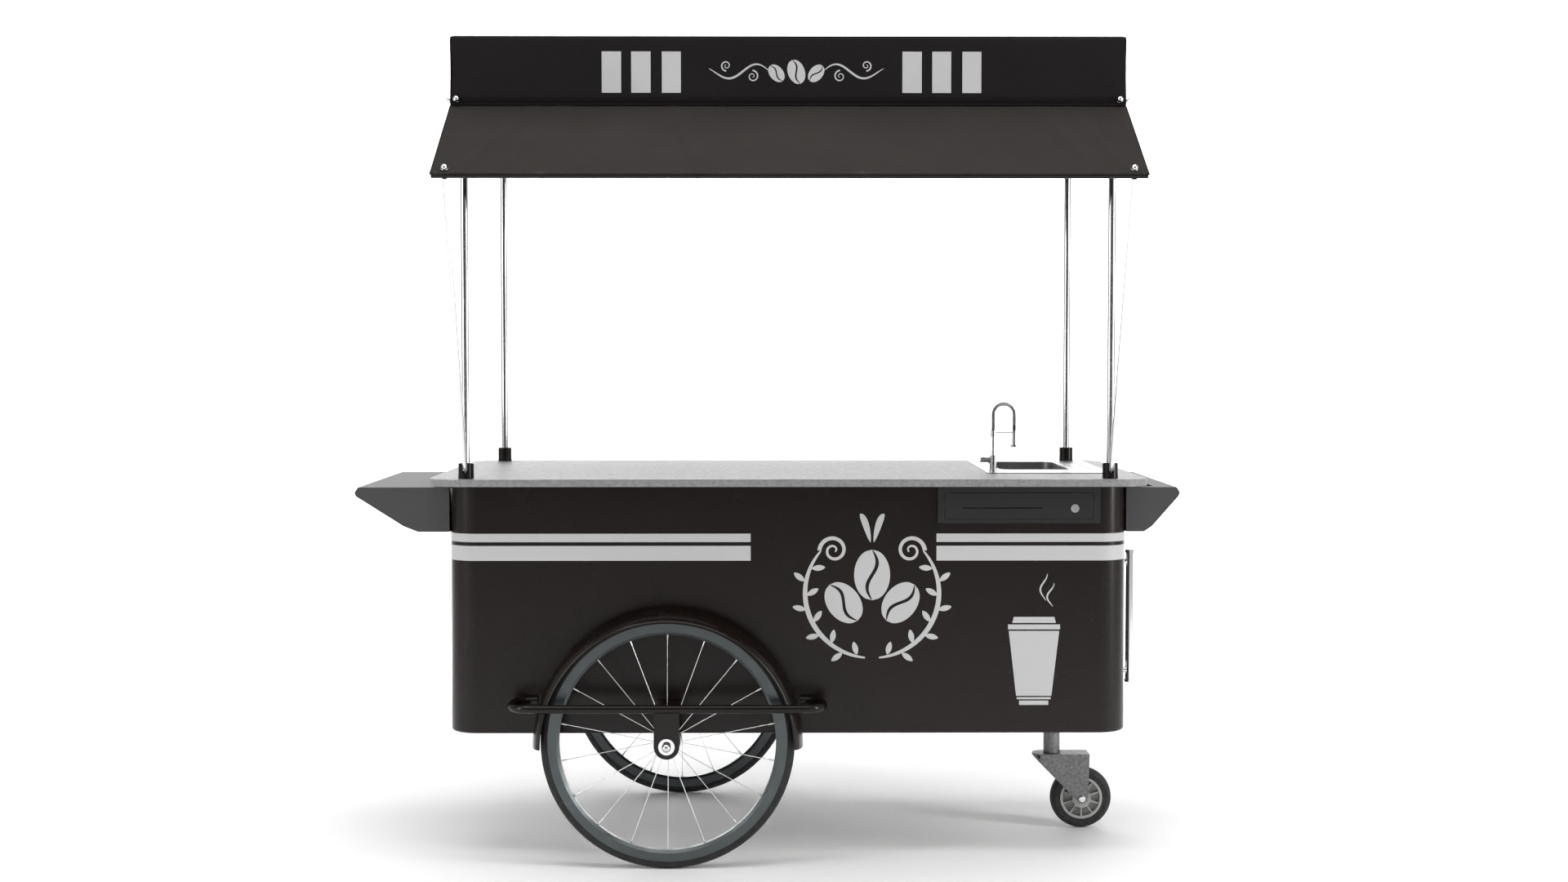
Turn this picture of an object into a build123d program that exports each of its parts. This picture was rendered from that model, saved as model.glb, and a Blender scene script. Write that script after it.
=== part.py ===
from build123d import *
import os
from math import atan2, cos, hypot, radians, sin

# Push vending cart: a steel cabinet on two spoked wheels and one swivel caster, with a stainless counter,
# a small sink, a cash drawer and a fabric canopy on four poles.  Millimetres, +Z up, ground at z = 0.
# The serving side, where the canopy flap hangs, faces -Y.  X = 0 and Y = 0 lie at the cabinet's centre
# while the pieces are drawn; at the end the whole cart is moved so that its origin is the middle of its
# footprint on the ground.

# ---------------------------------------------------------------- driving dimensions
FIT = 0.2                     # gap between pieces that are fixed to each other side by side
CLEAR = 0.3                   # gap between soft or curved pieces that lie on each other
RUNNING = 0.04                # radial clearance of a shaft in its bearing
DOOR_GAP = 2.0                # gap around a door or a drawer front

cabinet_length = 1790
cabinet_depth = 790
cabinet_bottom = 337          # height of the underside above the ground
cabinet_corner = 76           # plan radius of the four upright corners
cabinet_edge = 8              # radius round the bottom edge
wall = 12                     # foam-filled sheet-steel panel
floor_thickness = 15
divider_x = 110               # dry side to the left, wet side to the right
divider_thickness = 12
shelf_height = 660            # top of the middle shelf on the dry side
shelf_thickness = 12

counter_height = 1012         # working surface above the ground
counter_thickness = 19
counter_overhang_end = 45
counter_overhang_side = 78
counter_corner = 78
counter_edge = 3

hatch_left = -790             # open hatch in the back wall, above the wheel
hatch_right = 40
hatch_sill = 720
hatch_head = 950

door_left_edge = 150          # left side of the left doorway
door_width = 318              # each doorway
door_post = 30                # post between the doorways
door_sill = 400
door_head = 860
door_pivot_inset = 20         # pivot pin from the hinge edge of its door
door_pin_radius = 3
door_pin_length = 10          # length in the door and again in the wall
door_pin_slack = 1            # pin shorter than its two sockets together
pull_length = 140
pull_radius = 6
pull_standoff = 32
pull_inset = 35               # pull from the free edge of its door
pull_foot_radius = 5
pull_foot_inset = 20          # feet from the ends of the pull
hatch_corner = 20

drawer_left = 391
drawer_width = 427
drawer_bottom = 893
drawer_reach = 255            # depth of the drawer case, kept short of the faucet's tail
drawer_proud = 12             # how far the case stands out of the cabinet front
drawer_sheet = 3
bezel_side = 18
bezel_bottom = 10
bezel_top = 20
bezel_thickness = 4
tray_sheet = 2
tray_front = 4
tray_back_gap = 5             # tray from the back of its case
slip_slot_length = 207
slip_slot_height = 2.4
slip_slot_inset = 66          # from the case's left side
slip_slot_drop = 5            # below the middle of the front
lock_inset = 67               # lock axis from the case's right side
lock_drop = 6
lock_radius = 9.5
lock_flange = 11
lock_flange_thickness = 1.5
key_slot = (1.6, 5, 8)
runner_height = 20

sink_left = 541
sink_width = 339
sink_front = -215
sink_depth = 605
sink_corner = 16
sink_sheet = 2
bowl_left = 590
bowl_width = 196
bowl_front = -65
bowl_length = 400
bowl_depth = 140
bowl_corner = 36
bowl_bottom_radius = 16
groove_width = 4
groove_depth = 1
groove_starts = (805, 842)    # x of the two drainer grooves
groove_front = -147
groove_length = 455
drain_radius = 26
drain_flange = 32
drain_flange_thickness = 2
strainer_length = 34
strainer_hole_radius = 2.5
strainer_hole_count = 6
strainer_hole_circle = 10

tank_sheet = 4
waste_tank_size = (190, 260, 290)
fresh_tank_size = (230, 290, 320)
fresh_tank_centre = (300, 20)
tank_neck_radius = 30
tank_neck_bore = 25
tank_neck_height = 18
cap_rim = 4                   # cap wider than the neck
cap_height = 10
cap_plug_length = 16
tank_corner = 18
drain_pipe_radius = 16
drain_pipe_wall = 3
drain_pipe_lap_top = 6        # gap below the bowl's floor, inside the strainer's tail
drain_pipe_lap_bottom = 30    # reach into the waste tank
hose_radius = 6
pump_radius = 26
pump_length = 100
pump_head = (60, 50, 60)
pump_foot = (80, 150, 12)
pump_nipple_radius = 4
pump_nipple_length = 16

faucet_x = 564
faucet_y = -135
faucet_base_radius = 13
faucet_base_height = 3
faucet_body_radius = 10
faucet_nut_height = 10
faucet_body_height = 46       # above the counter
faucet_shank_radius = 8
faucet_shank_length = 38      # below the counter's underside
lever_height = 33             # barrel axis above the counter
lever_barrel_radius = 7
lever_barrel_length = 18
lever_boss_length = 8         # fixed boss on the body, beside the lever's barrel
lever_boss_lap = 2            # boss sunk into the round body
lever_rod_radius = 1.5
lever_rod_length = 29
lever_edge = 1.5
column_radius = 5
column_bore_depth = 16
column_lap = 15               # length of column inside the body
column_top = 113              # top of the collar above the counter
collar_radius = 8
collar_height = 17
arch_radius = 28.7
arch_top = 186                # centre line of the spring's crown above the counter
spring_radius = 6.5
spray_hose_radius = 4.5
spring_end = 130              # lower end of the spring's free leg above the counter
spray_radius = 7
spray_top = 113
spray_bottom = 75
nozzle_radius = 12
nozzle_height = 7
spray_edge = 1.5
arm_radius = 1.5
arm_height = 108
ring_width = 2                # wall of the ring that holds the spray head
ring_height = 8

shelf_reach = 250             # left side shelf
bin_reach = 142               # right side bin
side_half_width = 350
side_top = 984
side_drop = 118               # height of the shelf and bin at the cabinet
side_sheet = 3
side_brow = 9                 # slope from the flat top to the tip
side_tip_drop = 14
side_tip_turn = 24
side_tip_back = 4
side_knee_rise = 15
shelf_knee = 129              # tip to the start of the round under the shelf
shelf_foot = 167              # tip to the start of the flat underside
bin_knee = 73
bin_foot = 95
bin_opening_reach = 64
bin_opening_half_width = 320
bin_opening_inset = 14
bin_opening_corner = 25

wheel_radius = 330
wheel_x = -314
half_track = 478
tyre_half_width = 19
rim_outer = 311
rim_well = 300
rim_inner = 281
rim_half_width = 16
rim_flange = 3
rim_bed_half = 10             # flat inner face of the rim
rim_slope = 7                 # rise from the flat face to the rim's sides
spoke_count = 18
spoke_radius = 1.1
nipple_radius = 2.2
nipple_length = 15
hub_half_length = 44
hub_flange_radius = 37
hub_flange_offset = 26
hub_flange_thickness = 3
hub_barrel_radius = 23
bearing_radius = 17.5
bearing_width = 10
hub_bore_gap = 3              # between the axle and the hub's barrel
axle_radius = 8.5
axle_shoulder = 12
axle_plate_width = 66
axle_plate_thickness = 6
axle_washer_radius = 21
axle_washer_thickness = 4
cap_nut_radius = 12
cap_nut_height = 10

fender_radius = 352
fender_lip_radius = 327
fender_drop = 12              # fender's centre below the axle
fender_flat = 55              # straight part of the section, next to the wall
fender_width = 136
fender_sheet = 3
guard_radius = 11
guard_height = 427
guard_half_length = 403
guard_offset = 150            # tube axis from the cabinet wall
guard_corner = 50
guard_return = 58             # length of the turned-in ends

handle_radius = 11
handle_x = 963
handle_bottom = 412
handle_top = 786
handle_collar = 13
handle_collar_height = 9
handle_stem_radius = 8
handle_stem_inset = 34
handle_rose_radius = 20
handle_rose_thickness = 4

swivel_x = 746
caster_wheel_x = 828
caster_radius = 86
caster_crown = 12             # height of the rounded tread
caster_tread_half = 22
caster_core_radius = 59
caster_rim_band = 7
caster_boss_radius = 26
caster_web_half = 5
caster_rib_count = 10
caster_rib_width = 4
caster_rib_inset = 2          # ribs stand back from the hub's sides
caster_axle_radius = 6
caster_axle_head = 10
caster_axle_head_height = 6
caster_axle_edge = 4
fork_top = 212
fork_sheet = 4
fork_wheel_gap = 5
fork_half_width = 35.5
fork_nose_x = 691
fork_tail_x = 849
fork_tail_taper = 4
fork_nose_drop = 6
fork_nose_wall = 9.6          # solid metal left behind the nose
fork_throat = 24              # open space under the fork starts this far before the caster's axle
fork_throat_rise = 4
fork_ear_half_width = 14
fork_ear_lean = 4
fork_ear_point = 14           # lowest point below the axle
fork_ear_shoulder = 8
stem_radius = 23
stem_bottom = 218
stem_plate = (120, 110)
stem_plate_thickness = 6
bearing_rim = 1               # bearing wider than the stem
king_pin_radius = 10
king_pin_bottom = 186
king_nut_radius = 17
king_nut_height = 12

pole_x = 840
pole_y = 422
pole_radius = 10.5
pole_sheet = 1.5
socket_radius = 20.5
socket_height = 41
socket_floor = 5
socket_edge = 3
notch_width = 15
notch_depth = 26
strut_radius = 6.5
strut_gap = 2                 # foot of the strut from its pole
strut_foot_rise = 8           # foot of the strut above the notch's floor

canopy_half_length = 875
canopy_half_depth = 435
canopy_top = 2157
canopy_fold = 1976            # where the flap starts
flap_front = 786              # distance of the flap's lower edge from the centre
flap_bottom = 1775
fabric = 2
rail = 20                     # square tube of the canopy frame
rail_sheet = 1.5
flap_bar_radius = 8
flap_bar_inset = 14           # bar from the flap's lower edge, along its slope
flap_arm_radius = 6
dome_radius = 8.5
dome_straight = 4
dome_washer = 9.5
dome_washer_thickness = 1.5
bolt_shank = 3
front_bolt_x = 857
bolt_height = 1994            # also the middle of the frame's lower ring
side_bolt_y = 405
bolt_length = 12
flap_bolt_x = 841
flap_bolt_length = 4
flap_bolt_inset = 26          # from the flap's lower edge, along its slope

# ---------------------------------------------------------------- derived places
cabinet_end = cabinet_length / 2
cabinet_side = cabinet_depth / 2
counter_bottom = counter_height - counter_thickness
cabinet_height = counter_bottom - cabinet_bottom
floor_top = cabinet_bottom + floor_thickness
inner_side = cabinet_side - wall
inner_end = cabinet_end - wall
wheel_side = {"front": -1, "rear": 1}
fender_z = wheel_radius - fender_drop
guard_y = cabinet_side + guard_offset
bowl_x = bowl_left + bowl_width / 2
bowl_y = bowl_front + bowl_length / 2
drawer_front = -cabinet_side - drawer_proud
drawer_back = drawer_front + drawer_reach
drawer_x = drawer_left + drawer_width / 2

os.makedirs("parts", exist_ok=True)
pieces = []


def keep(piece, name):
    """Label a finished piece and hold it until the cart's footprint is known."""
    piece.part.label = name
    pieces.append(piece.part)


def bar_plane(start, end):
    """Plane at start whose normal points to end."""
    return Plane(origin=start, z_dir=Vector(*end) - Vector(*start))


def distance(start, end):
    return (Vector(*end) - Vector(*start)).length


# ---------------------------------------------------------------- cabinet
with BuildPart() as cabinet_shell:
    with BuildSketch(Plane.XY.offset(cabinet_bottom)):
        RectangleRounded(cabinet_length, cabinet_depth, cabinet_corner)
    extrude(amount=cabinet_height)
    fillet(cabinet_shell.edges().group_by(Axis.Z)[0], cabinet_edge)
    with BuildSketch(Plane.XY.offset(cabinet_bottom)):
        RectangleRounded(2 * inner_end, 2 * inner_side, cabinet_corner - wall)
    extrude(amount=cabinet_height, mode=Mode.SUBTRACT)
    # opening for the cash drawer in the front wall
    with BuildSketch(Plane.XZ.offset(inner_side)):
        with Locations((drawer_x, (drawer_bottom + counter_bottom) / 2 - FIT)):
            Rectangle(drawer_width + 2 * FIT, counter_bottom - drawer_bottom + 2 * FIT)
    extrude(amount=wall, mode=Mode.SUBTRACT)
    # hatch and two doorways in the back wall
    with BuildSketch(Plane.XZ.offset(-cabinet_side)):
        with Locations(((hatch_left + hatch_right) / 2, (hatch_sill + hatch_head) / 2)):
            RectangleRounded(hatch_right - hatch_left, hatch_head - hatch_sill, hatch_corner)
        for index in range(2):
            door_middle = door_left_edge + door_width / 2 + index * (door_width + door_post)
            with Locations((door_middle, (door_sill + door_head) / 2)):
                Rectangle(door_width, door_head - door_sill)
    extrude(amount=wall, mode=Mode.SUBTRACT)
    # sockets for the door pivots, above and below each doorway
    for index in range(2):
        pivot_x = door_left_edge + DOOR_GAP + door_pivot_inset
        if index:
            pivot_x = door_left_edge + 2 * door_width + door_post - DOOR_GAP - door_pivot_inset
        with Locations((pivot_x, cabinet_side - wall / 2, door_head + door_pin_length / 2),
                       (pivot_x, cabinet_side - wall / 2, door_sill - door_pin_length / 2)):
            Cylinder(door_pin_radius + RUNNING, door_pin_length, mode=Mode.SUBTRACT)
keep(cabinet_shell, "cabinet_shell")

with BuildPart() as cabinet_floor:
    with BuildSketch(Plane.XY.offset(cabinet_bottom)):
        RectangleRounded(2 * (inner_end - FIT), 2 * (inner_side - FIT), cabinet_corner - wall)
    extrude(amount=floor_thickness)
keep(cabinet_floor, "cabinet_floor")

with BuildPart() as cabinet_divider:
    with BuildSketch(Plane.XY.offset(floor_top)):
        with Locations((divider_x, 0)):
            Rectangle(divider_thickness, 2 * (inner_side - FIT))
    extrude(amount=counter_bottom - floor_top)
keep(cabinet_divider, "cabinet_divider")

middle_shelf_right = divider_x - divider_thickness / 2
with BuildPart() as middle_shelf:
    with BuildSketch(Plane.XY.offset(shelf_height - shelf_thickness)):
        RectangleRounded(2 * (inner_end - FIT), 2 * (inner_side - FIT), cabinet_corner - wall)
        with Locations((middle_shelf_right + inner_end, 0)):
            Rectangle(2 * inner_end, cabinet_depth, mode=Mode.SUBTRACT)
    extrude(amount=shelf_thickness)
keep(middle_shelf, "middle_shelf")

with BuildPart() as counter_top:
    with BuildSketch(Plane.XY.offset(counter_bottom)):
        RectangleRounded(cabinet_length + 2 * counter_overhang_end,
                         cabinet_depth + 2 * counter_overhang_side, counter_corner)
    extrude(amount=counter_thickness)
    fillet(counter_top.faces().sort_by(Axis.Z)[-1].edges(), counter_edge)
    with BuildSketch(Plane.XY.offset(counter_bottom)):
        with Locations((bowl_x, bowl_y)):
            RectangleRounded(bowl_width + 2 * FIT, bowl_length + 2 * FIT, bowl_corner + FIT)
        with Locations((faucet_x, faucet_y)):
            Circle(faucet_shank_radius + FIT)
    extrude(amount=counter_thickness, mode=Mode.SUBTRACT)
keep(counter_top, "counter_top")

# ---------------------------------------------------------------- operator doors
door_panel_width = door_width - 2 * DOOR_GAP
door_panel_height = door_head - door_sill - 2 * DOOR_GAP
door_pull_y = cabinet_side + pull_standoff
pivot_places = []
for index, side in enumerate(("left", "right")):
    door_middle = door_left_edge + door_width / 2 + index * (door_width + door_post)
    toward_hinge = -1 if side == "left" else 1
    pivot_x = door_middle + toward_hinge * (door_panel_width / 2 - door_pivot_inset)
    pivot_places.append(pivot_x)
    pull_x = door_middle - toward_hinge * (door_panel_width / 2 - pull_inset)
    door_y = cabinet_side - wall / 2
    door_z = (door_sill + door_head) / 2

    with BuildPart() as door:
        with Locations((door_middle, door_y, door_z)):
            Box(door_panel_width, wall, door_panel_height)
        for end in (-1, 1):
            pin_middle = door_z + end * (door_panel_height / 2 - door_pin_length / 2)
            with Locations((pivot_x, door_y, pin_middle)):
                Cylinder(door_pin_radius + RUNNING, door_pin_length, mode=Mode.SUBTRACT)
    keep(door, f"{side}_door")

    with BuildPart() as door_pull:
        with Locations((pull_x, door_pull_y, door_z)):
            Cylinder(pull_radius, pull_length)
        foot_y = (cabinet_side + door_pull_y) / 2
        foot_rise = pull_length / 2 - pull_foot_inset
        with Locations((pull_x, foot_y, door_z - foot_rise), (pull_x, foot_y, door_z + foot_rise)):
            Cylinder(pull_foot_radius, pull_standoff, rotation=(90, 0, 0))
    keep(door_pull, f"{side}_door_pull")

with BuildPart() as door_pivot_pins:
    for pivot_x in pivot_places:
        with Locations((pivot_x, cabinet_side - wall / 2, door_head - DOOR_GAP / 2),
                       (pivot_x, cabinet_side - wall / 2, door_sill + DOOR_GAP / 2)):
            Cylinder(door_pin_radius, 2 * door_pin_length + DOOR_GAP - door_pin_slack)
keep(door_pivot_pins, "door_pivot_pins")

# ---------------------------------------------------------------- cash drawer
drawer_top = counter_bottom
case_height = drawer_top - drawer_bottom
bezel_width = drawer_width - 2 * bezel_side
bezel_height = case_height - bezel_top - bezel_bottom
bezel_z = drawer_bottom + bezel_bottom + bezel_height / 2

with BuildPart() as drawer_case:
    with Locations((drawer_x, drawer_front + drawer_reach / 2, drawer_bottom + case_height / 2)):
        Box(drawer_width, drawer_reach, case_height)
    with Locations((drawer_x, drawer_front + (bezel_thickness + drawer_reach - drawer_sheet) / 2,
                    drawer_bottom + case_height / 2)):
        Box(drawer_width - 2 * drawer_sheet, drawer_reach - bezel_thickness - drawer_sheet,
            case_height - 2 * drawer_sheet, mode=Mode.SUBTRACT)
    with Locations((drawer_x, drawer_front + bezel_thickness / 2, bezel_z)):
        Box(bezel_width, 2 * bezel_thickness, bezel_height, mode=Mode.SUBTRACT)
keep(drawer_case, "drawer_case")

tray_width = bezel_width - DOOR_GAP
tray_height = bezel_height - DOOR_GAP
tray_back = drawer_back - drawer_sheet - tray_back_gap
tray_length = tray_back - drawer_front
lock_x = drawer_left + drawer_width - lock_inset
lock_z = bezel_z - lock_drop
slot_x = drawer_left + slip_slot_inset + slip_slot_length / 2
with BuildPart() as cash_drawer:
    with Locations((drawer_x, drawer_front + tray_length / 2, bezel_z)):
        Box(tray_width, tray_length, tray_height)
    with Locations((drawer_x, drawer_front + (tray_front + tray_length - tray_sheet) / 2,
                    bezel_z + tray_sheet)):
        Box(tray_width - 2 * tray_sheet, tray_length - tray_front - tray_sheet, tray_height,
            mode=Mode.SUBTRACT)
    with Locations((slot_x, drawer_front + tray_front / 2, bezel_z - slip_slot_drop)):
        Box(slip_slot_length, 2 * tray_front, slip_slot_height, mode=Mode.SUBTRACT)
    with Locations((lock_x, drawer_front + tray_front / 2, lock_z)):
        Cylinder(lock_radius, 2 * tray_front, rotation=(90, 0, 0), mode=Mode.SUBTRACT)
keep(cash_drawer, "cash_drawer")

with BuildPart() as drawer_lock:
    with Locations((lock_x, drawer_front + tray_front - CLEAR / 2, lock_z)):
        Cylinder(lock_radius - RUNNING, 2 * tray_front + CLEAR, rotation=(90, 0, 0))
    with Locations((lock_x, drawer_front - CLEAR - lock_flange_thickness / 2, lock_z)):
        Cylinder(lock_flange, lock_flange_thickness, rotation=(90, 0, 0))
    with Locations((lock_x, drawer_front - CLEAR - lock_flange_thickness, lock_z)):
        Box(*key_slot, mode=Mode.SUBTRACT)
keep(drawer_lock, "drawer_lock")

runner_width = (drawer_width - 2 * drawer_sheet - tray_width) / 2
with BuildPart() as drawer_runners:
    for side in (-1, 1):
        runner_x = drawer_x + side * (tray_width + runner_width) / 2
        runner_y = (drawer_front + bezel_thickness + tray_back) / 2
        with Locations((runner_x + side * CLEAR / 2, runner_y, bezel_z)):
            Box(runner_width - CLEAR, tray_back - drawer_front - bezel_thickness, runner_height)
keep(drawer_runners, "drawer_runners")

# ---------------------------------------------------------------- sink and water system
with BuildPart() as bowl_space:
    with BuildSketch(Plane.XY.offset(counter_height + sink_sheet)):
        with Locations((bowl_x, bowl_y)):
            RectangleRounded(bowl_width - 2 * sink_sheet, bowl_length - 2 * sink_sheet,
                             bowl_corner - sink_sheet)
    extrude(amount=-bowl_depth)
    fillet(bowl_space.edges().group_by(Axis.Z)[0], bowl_bottom_radius - sink_sheet)

with BuildPart() as sink_basin:
    with BuildSketch(Plane.XY.offset(counter_height)):
        with Locations((bowl_x, bowl_y)):
            RectangleRounded(bowl_width, bowl_length, bowl_corner)
    extrude(amount=-bowl_depth)
    fillet(sink_basin.edges().group_by(Axis.Z)[0], bowl_bottom_radius)
    with BuildSketch(Plane.XY.offset(counter_height)):
        with Locations((sink_left + sink_width / 2, sink_front + sink_depth / 2)):
            RectangleRounded(sink_width, sink_depth, sink_corner)
    extrude(amount=sink_sheet)
    add(bowl_space.part, mode=Mode.SUBTRACT)
    with Locations((bowl_x, bowl_y, counter_height - bowl_depth)):
        Cylinder(drain_radius, 4 * sink_sheet, mode=Mode.SUBTRACT)
    with Locations((faucet_x, faucet_y, counter_height)):
        Cylinder(faucet_shank_radius + FIT, 4 * sink_sheet, mode=Mode.SUBTRACT)
    for groove_x in groove_starts:
        with Locations((groove_x, groove_front + groove_length / 2, counter_height + sink_sheet)):
            Box(groove_width, groove_length, 2 * groove_depth, mode=Mode.SUBTRACT)
keep(sink_basin, "sink_basin")

bowl_floor = counter_height + sink_sheet - bowl_depth
with BuildPart() as sink_strainer:
    with Locations((bowl_x, bowl_y, bowl_floor + drain_flange_thickness / 2)):
        Cylinder(drain_flange, drain_flange_thickness)
    with Locations((bowl_x, bowl_y, bowl_floor - strainer_length / 2)):
        Cylinder(drain_radius - FIT, strainer_length)
    with Locations((bowl_x, bowl_y, bowl_floor - strainer_length / 2)):
        Cylinder(drain_pipe_radius, strainer_length, mode=Mode.SUBTRACT)
    with Locations((bowl_x, bowl_y, bowl_floor + drain_flange_thickness / 2)):
        with PolarLocations(strainer_hole_circle, strainer_hole_count):
            Cylinder(strainer_hole_radius, drain_flange_thickness, mode=Mode.SUBTRACT)
keep(sink_strainer, "sink_strainer")


def tank(size, centre, bore_radius):
    """A blow-moulded tank with a round neck on top."""
    length, width, height = size
    middle = (centre[0], centre[1], floor_top + height / 2)
    with BuildPart() as hollow:
        with Locations(middle):
            Box(length - 2 * tank_sheet, width - 2 * tank_sheet, height - 2 * tank_sheet)
        fillet(hollow.edges(), tank_corner - tank_sheet)
    with BuildPart() as body:
        with Locations(middle):
            Box(length, width, height)
        fillet(body.edges(), tank_corner)
        with Locations((centre[0], centre[1], floor_top + height + tank_neck_height / 2)):
            Cylinder(tank_neck_radius, tank_neck_height)
        add(hollow.part, mode=Mode.SUBTRACT)
        with Locations((centre[0], centre[1], floor_top + height)):
            Cylinder(bore_radius, 2 * tank_neck_height, mode=Mode.SUBTRACT)
    return body


waste_tank = tank(waste_tank_size, (bowl_x, bowl_y), drain_pipe_radius + FIT)
keep(waste_tank, "waste_water_tank")
fresh_tank = tank(fresh_tank_size, fresh_tank_centre, tank_neck_bore)
keep(fresh_tank, "fresh_water_tank")

fresh_neck_top = floor_top + fresh_tank_size[2] + tank_neck_height
with BuildPart() as fresh_tank_cap:
    with Locations((*fresh_tank_centre, fresh_neck_top + cap_height / 2)):
        Cylinder(tank_neck_radius + cap_rim, cap_height)
    with Locations((*fresh_tank_centre, fresh_neck_top - cap_plug_length / 2)):
        Cylinder(tank_neck_bore - FIT, cap_plug_length)
keep(fresh_tank_cap, "fresh_tank_cap")

waste_neck_top = floor_top + waste_tank_size[2] + tank_neck_height
drain_pipe_top = bowl_floor - drain_pipe_lap_top
drain_pipe_bottom = waste_neck_top - drain_pipe_lap_bottom
with BuildPart() as drain_pipe:
    with Locations((bowl_x, bowl_y, (drain_pipe_top + drain_pipe_bottom) / 2)):
        Cylinder(drain_pipe_radius - FIT, drain_pipe_top - drain_pipe_bottom)
        Cylinder(drain_pipe_radius - drain_pipe_wall, drain_pipe_top - drain_pipe_bottom, mode=Mode.SUBTRACT)
keep(drain_pipe, "drain_pipe")

pump_z = floor_top + pump_foot[2] + pump_head[2] / 2
pump_top = pump_z + pump_head[2] / 2
pump_left = faucet_x - pump_head[0] / 2
with BuildPart() as water_pump:
    with Locations((faucet_x, faucet_y, pump_z)):
        Box(*pump_head)
    with Locations((faucet_x, faucet_y + (pump_head[1] + pump_length) / 2, pump_z)):
        Cylinder(pump_radius, pump_length, rotation=(90, 0, 0))
    with Locations((faucet_x, faucet_y + pump_length / 2, floor_top + pump_foot[2] / 2)):
        Box(*pump_foot)
    with Locations((faucet_x, faucet_y, pump_top + pump_nipple_length / 2)):
        Cylinder(pump_nipple_radius, pump_nipple_length)
    with Locations((pump_left - pump_nipple_length / 2, faucet_y, pump_z)):
        Cylinder(pump_nipple_radius, pump_nipple_length, rotation=(0, 90, 0))
keep(water_pump, "water_pump")

shank_bottom = counter_bottom - faucet_shank_length
suction_left = fresh_tank_centre[0] + fresh_tank_size[0] / 2
nipple_bore = pump_nipple_radius + FIT / 2
with BuildPart() as supply_hoses:
    with Locations((faucet_x, faucet_y, (shank_bottom + pump_top) / 2)):
        Cylinder(hose_radius, shank_bottom - pump_top)
    with Locations((faucet_x, faucet_y, pump_top + pump_nipple_length / 2)):
        Cylinder(nipple_bore, pump_nipple_length, mode=Mode.SUBTRACT)
    with Locations(((suction_left + pump_left) / 2, faucet_y, pump_z)):
        Cylinder(hose_radius, pump_left - suction_left, rotation=(0, 90, 0))
    with Locations((pump_left - pump_nipple_length / 2, faucet_y, pump_z)):
        Cylinder(nipple_bore, pump_nipple_length, rotation=(0, 90, 0), mode=Mode.SUBTRACT)
keep(supply_hoses, "supply_hoses")

# ---------------------------------------------------------------- faucet
rim_top = counter_height + sink_sheet
lever_z = counter_height + lever_height
barrel_right = faucet_x - faucet_body_radius - lever_boss_length - CLEAR
barrel_left = barrel_right - lever_barrel_length
with BuildPart() as faucet_body:
    with Locations((faucet_x, faucet_y, rim_top + faucet_base_height / 2)):
        Cylinder(faucet_base_radius, faucet_base_height)
    with Locations((faucet_x, faucet_y, (rim_top + counter_height + faucet_body_height) / 2)):
        Cylinder(faucet_body_radius, counter_height + faucet_body_height - rim_top)
    with Locations((faucet_x, faucet_y, (rim_top + shank_bottom) / 2)):
        Cylinder(faucet_shank_radius, rim_top - shank_bottom)
    with Locations((faucet_x - faucet_body_radius - lever_boss_length, faucet_y, lever_z)):
        Cylinder(lever_barrel_radius, lever_boss_length + lever_boss_lap, rotation=(0, 90, 0),
                 align=(Align.CENTER, Align.CENTER, Align.MIN))
    # bore that guides the swivelling column
    with Locations((faucet_x, faucet_y, counter_height + faucet_body_height - column_bore_depth / 2)):
        Cylinder(column_radius + RUNNING, column_bore_depth, mode=Mode.SUBTRACT)
keep(faucet_body, "faucet_body")

with BuildPart() as faucet_nut:
    with BuildSketch(Plane.XY.offset(counter_bottom - faucet_nut_height)):
        with Locations((faucet_x, faucet_y)):
            RegularPolygon(faucet_base_radius, 6)
            Circle(faucet_shank_radius + FIT, mode=Mode.SUBTRACT)
    extrude(amount=faucet_nut_height)
keep(faucet_nut, "faucet_nut")

with BuildPart() as faucet_lever:
    with Locations(((barrel_left + barrel_right) / 2, faucet_y, lever_z)):
        Cylinder(lever_barrel_radius, barrel_right - barrel_left, rotation=(0, 90, 0))
    fillet(faucet_lever.edges().group_by(Axis.X)[0], lever_edge)
    with Locations(((barrel_left + barrel_right) / 2, faucet_y, lever_z)):
        Cylinder(lever_rod_radius, lever_barrel_radius + lever_rod_length,
                 align=(Align.CENTER, Align.CENTER, Align.MIN))
keep(faucet_lever, "faucet_lever")

collar_bottom = counter_height + column_top - collar_height
column_foot = counter_height + faucet_body_height - column_lap
spout_x = faucet_x + 2 * arch_radius
with BuildPart() as faucet_column:
    with Locations((faucet_x, faucet_y, (column_foot + collar_bottom) / 2)):
        Cylinder(column_radius, collar_bottom - column_foot)
    with Locations((faucet_x, faucet_y, collar_bottom + collar_height / 2)):
        Cylinder(collar_radius, collar_height)
    with Locations((faucet_x + arch_radius, faucet_y, counter_height + arm_height)):
        Cylinder(arm_radius, 2 * (arch_radius - spray_radius), rotation=(0, 90, 0))
    with Locations((spout_x, faucet_y, counter_height + arm_height)):
        Cylinder(spray_radius + ring_width, ring_height)
        Cylinder(spray_radius + RUNNING, ring_height, mode=Mode.SUBTRACT)
keep(faucet_column, "faucet_column")

arch_foot = counter_height + column_top
arch_centre = counter_height + arch_top - arch_radius


def arch_path(end_height):
    """Up from the collar, over the crown and down to end_height."""
    with BuildLine(Plane((faucet_x, faucet_y, arch_foot), x_dir=(1, 0, 0), z_dir=(0, -1, 0))) as path:
        rise = arch_centre - arch_foot
        Line((0, 0), (0, rise))
        ThreePointArc((0, rise), (arch_radius, rise + arch_radius), (2 * arch_radius, rise))
        Line((2 * arch_radius, rise), (2 * arch_radius, end_height - arch_foot))
    return path.line


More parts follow.
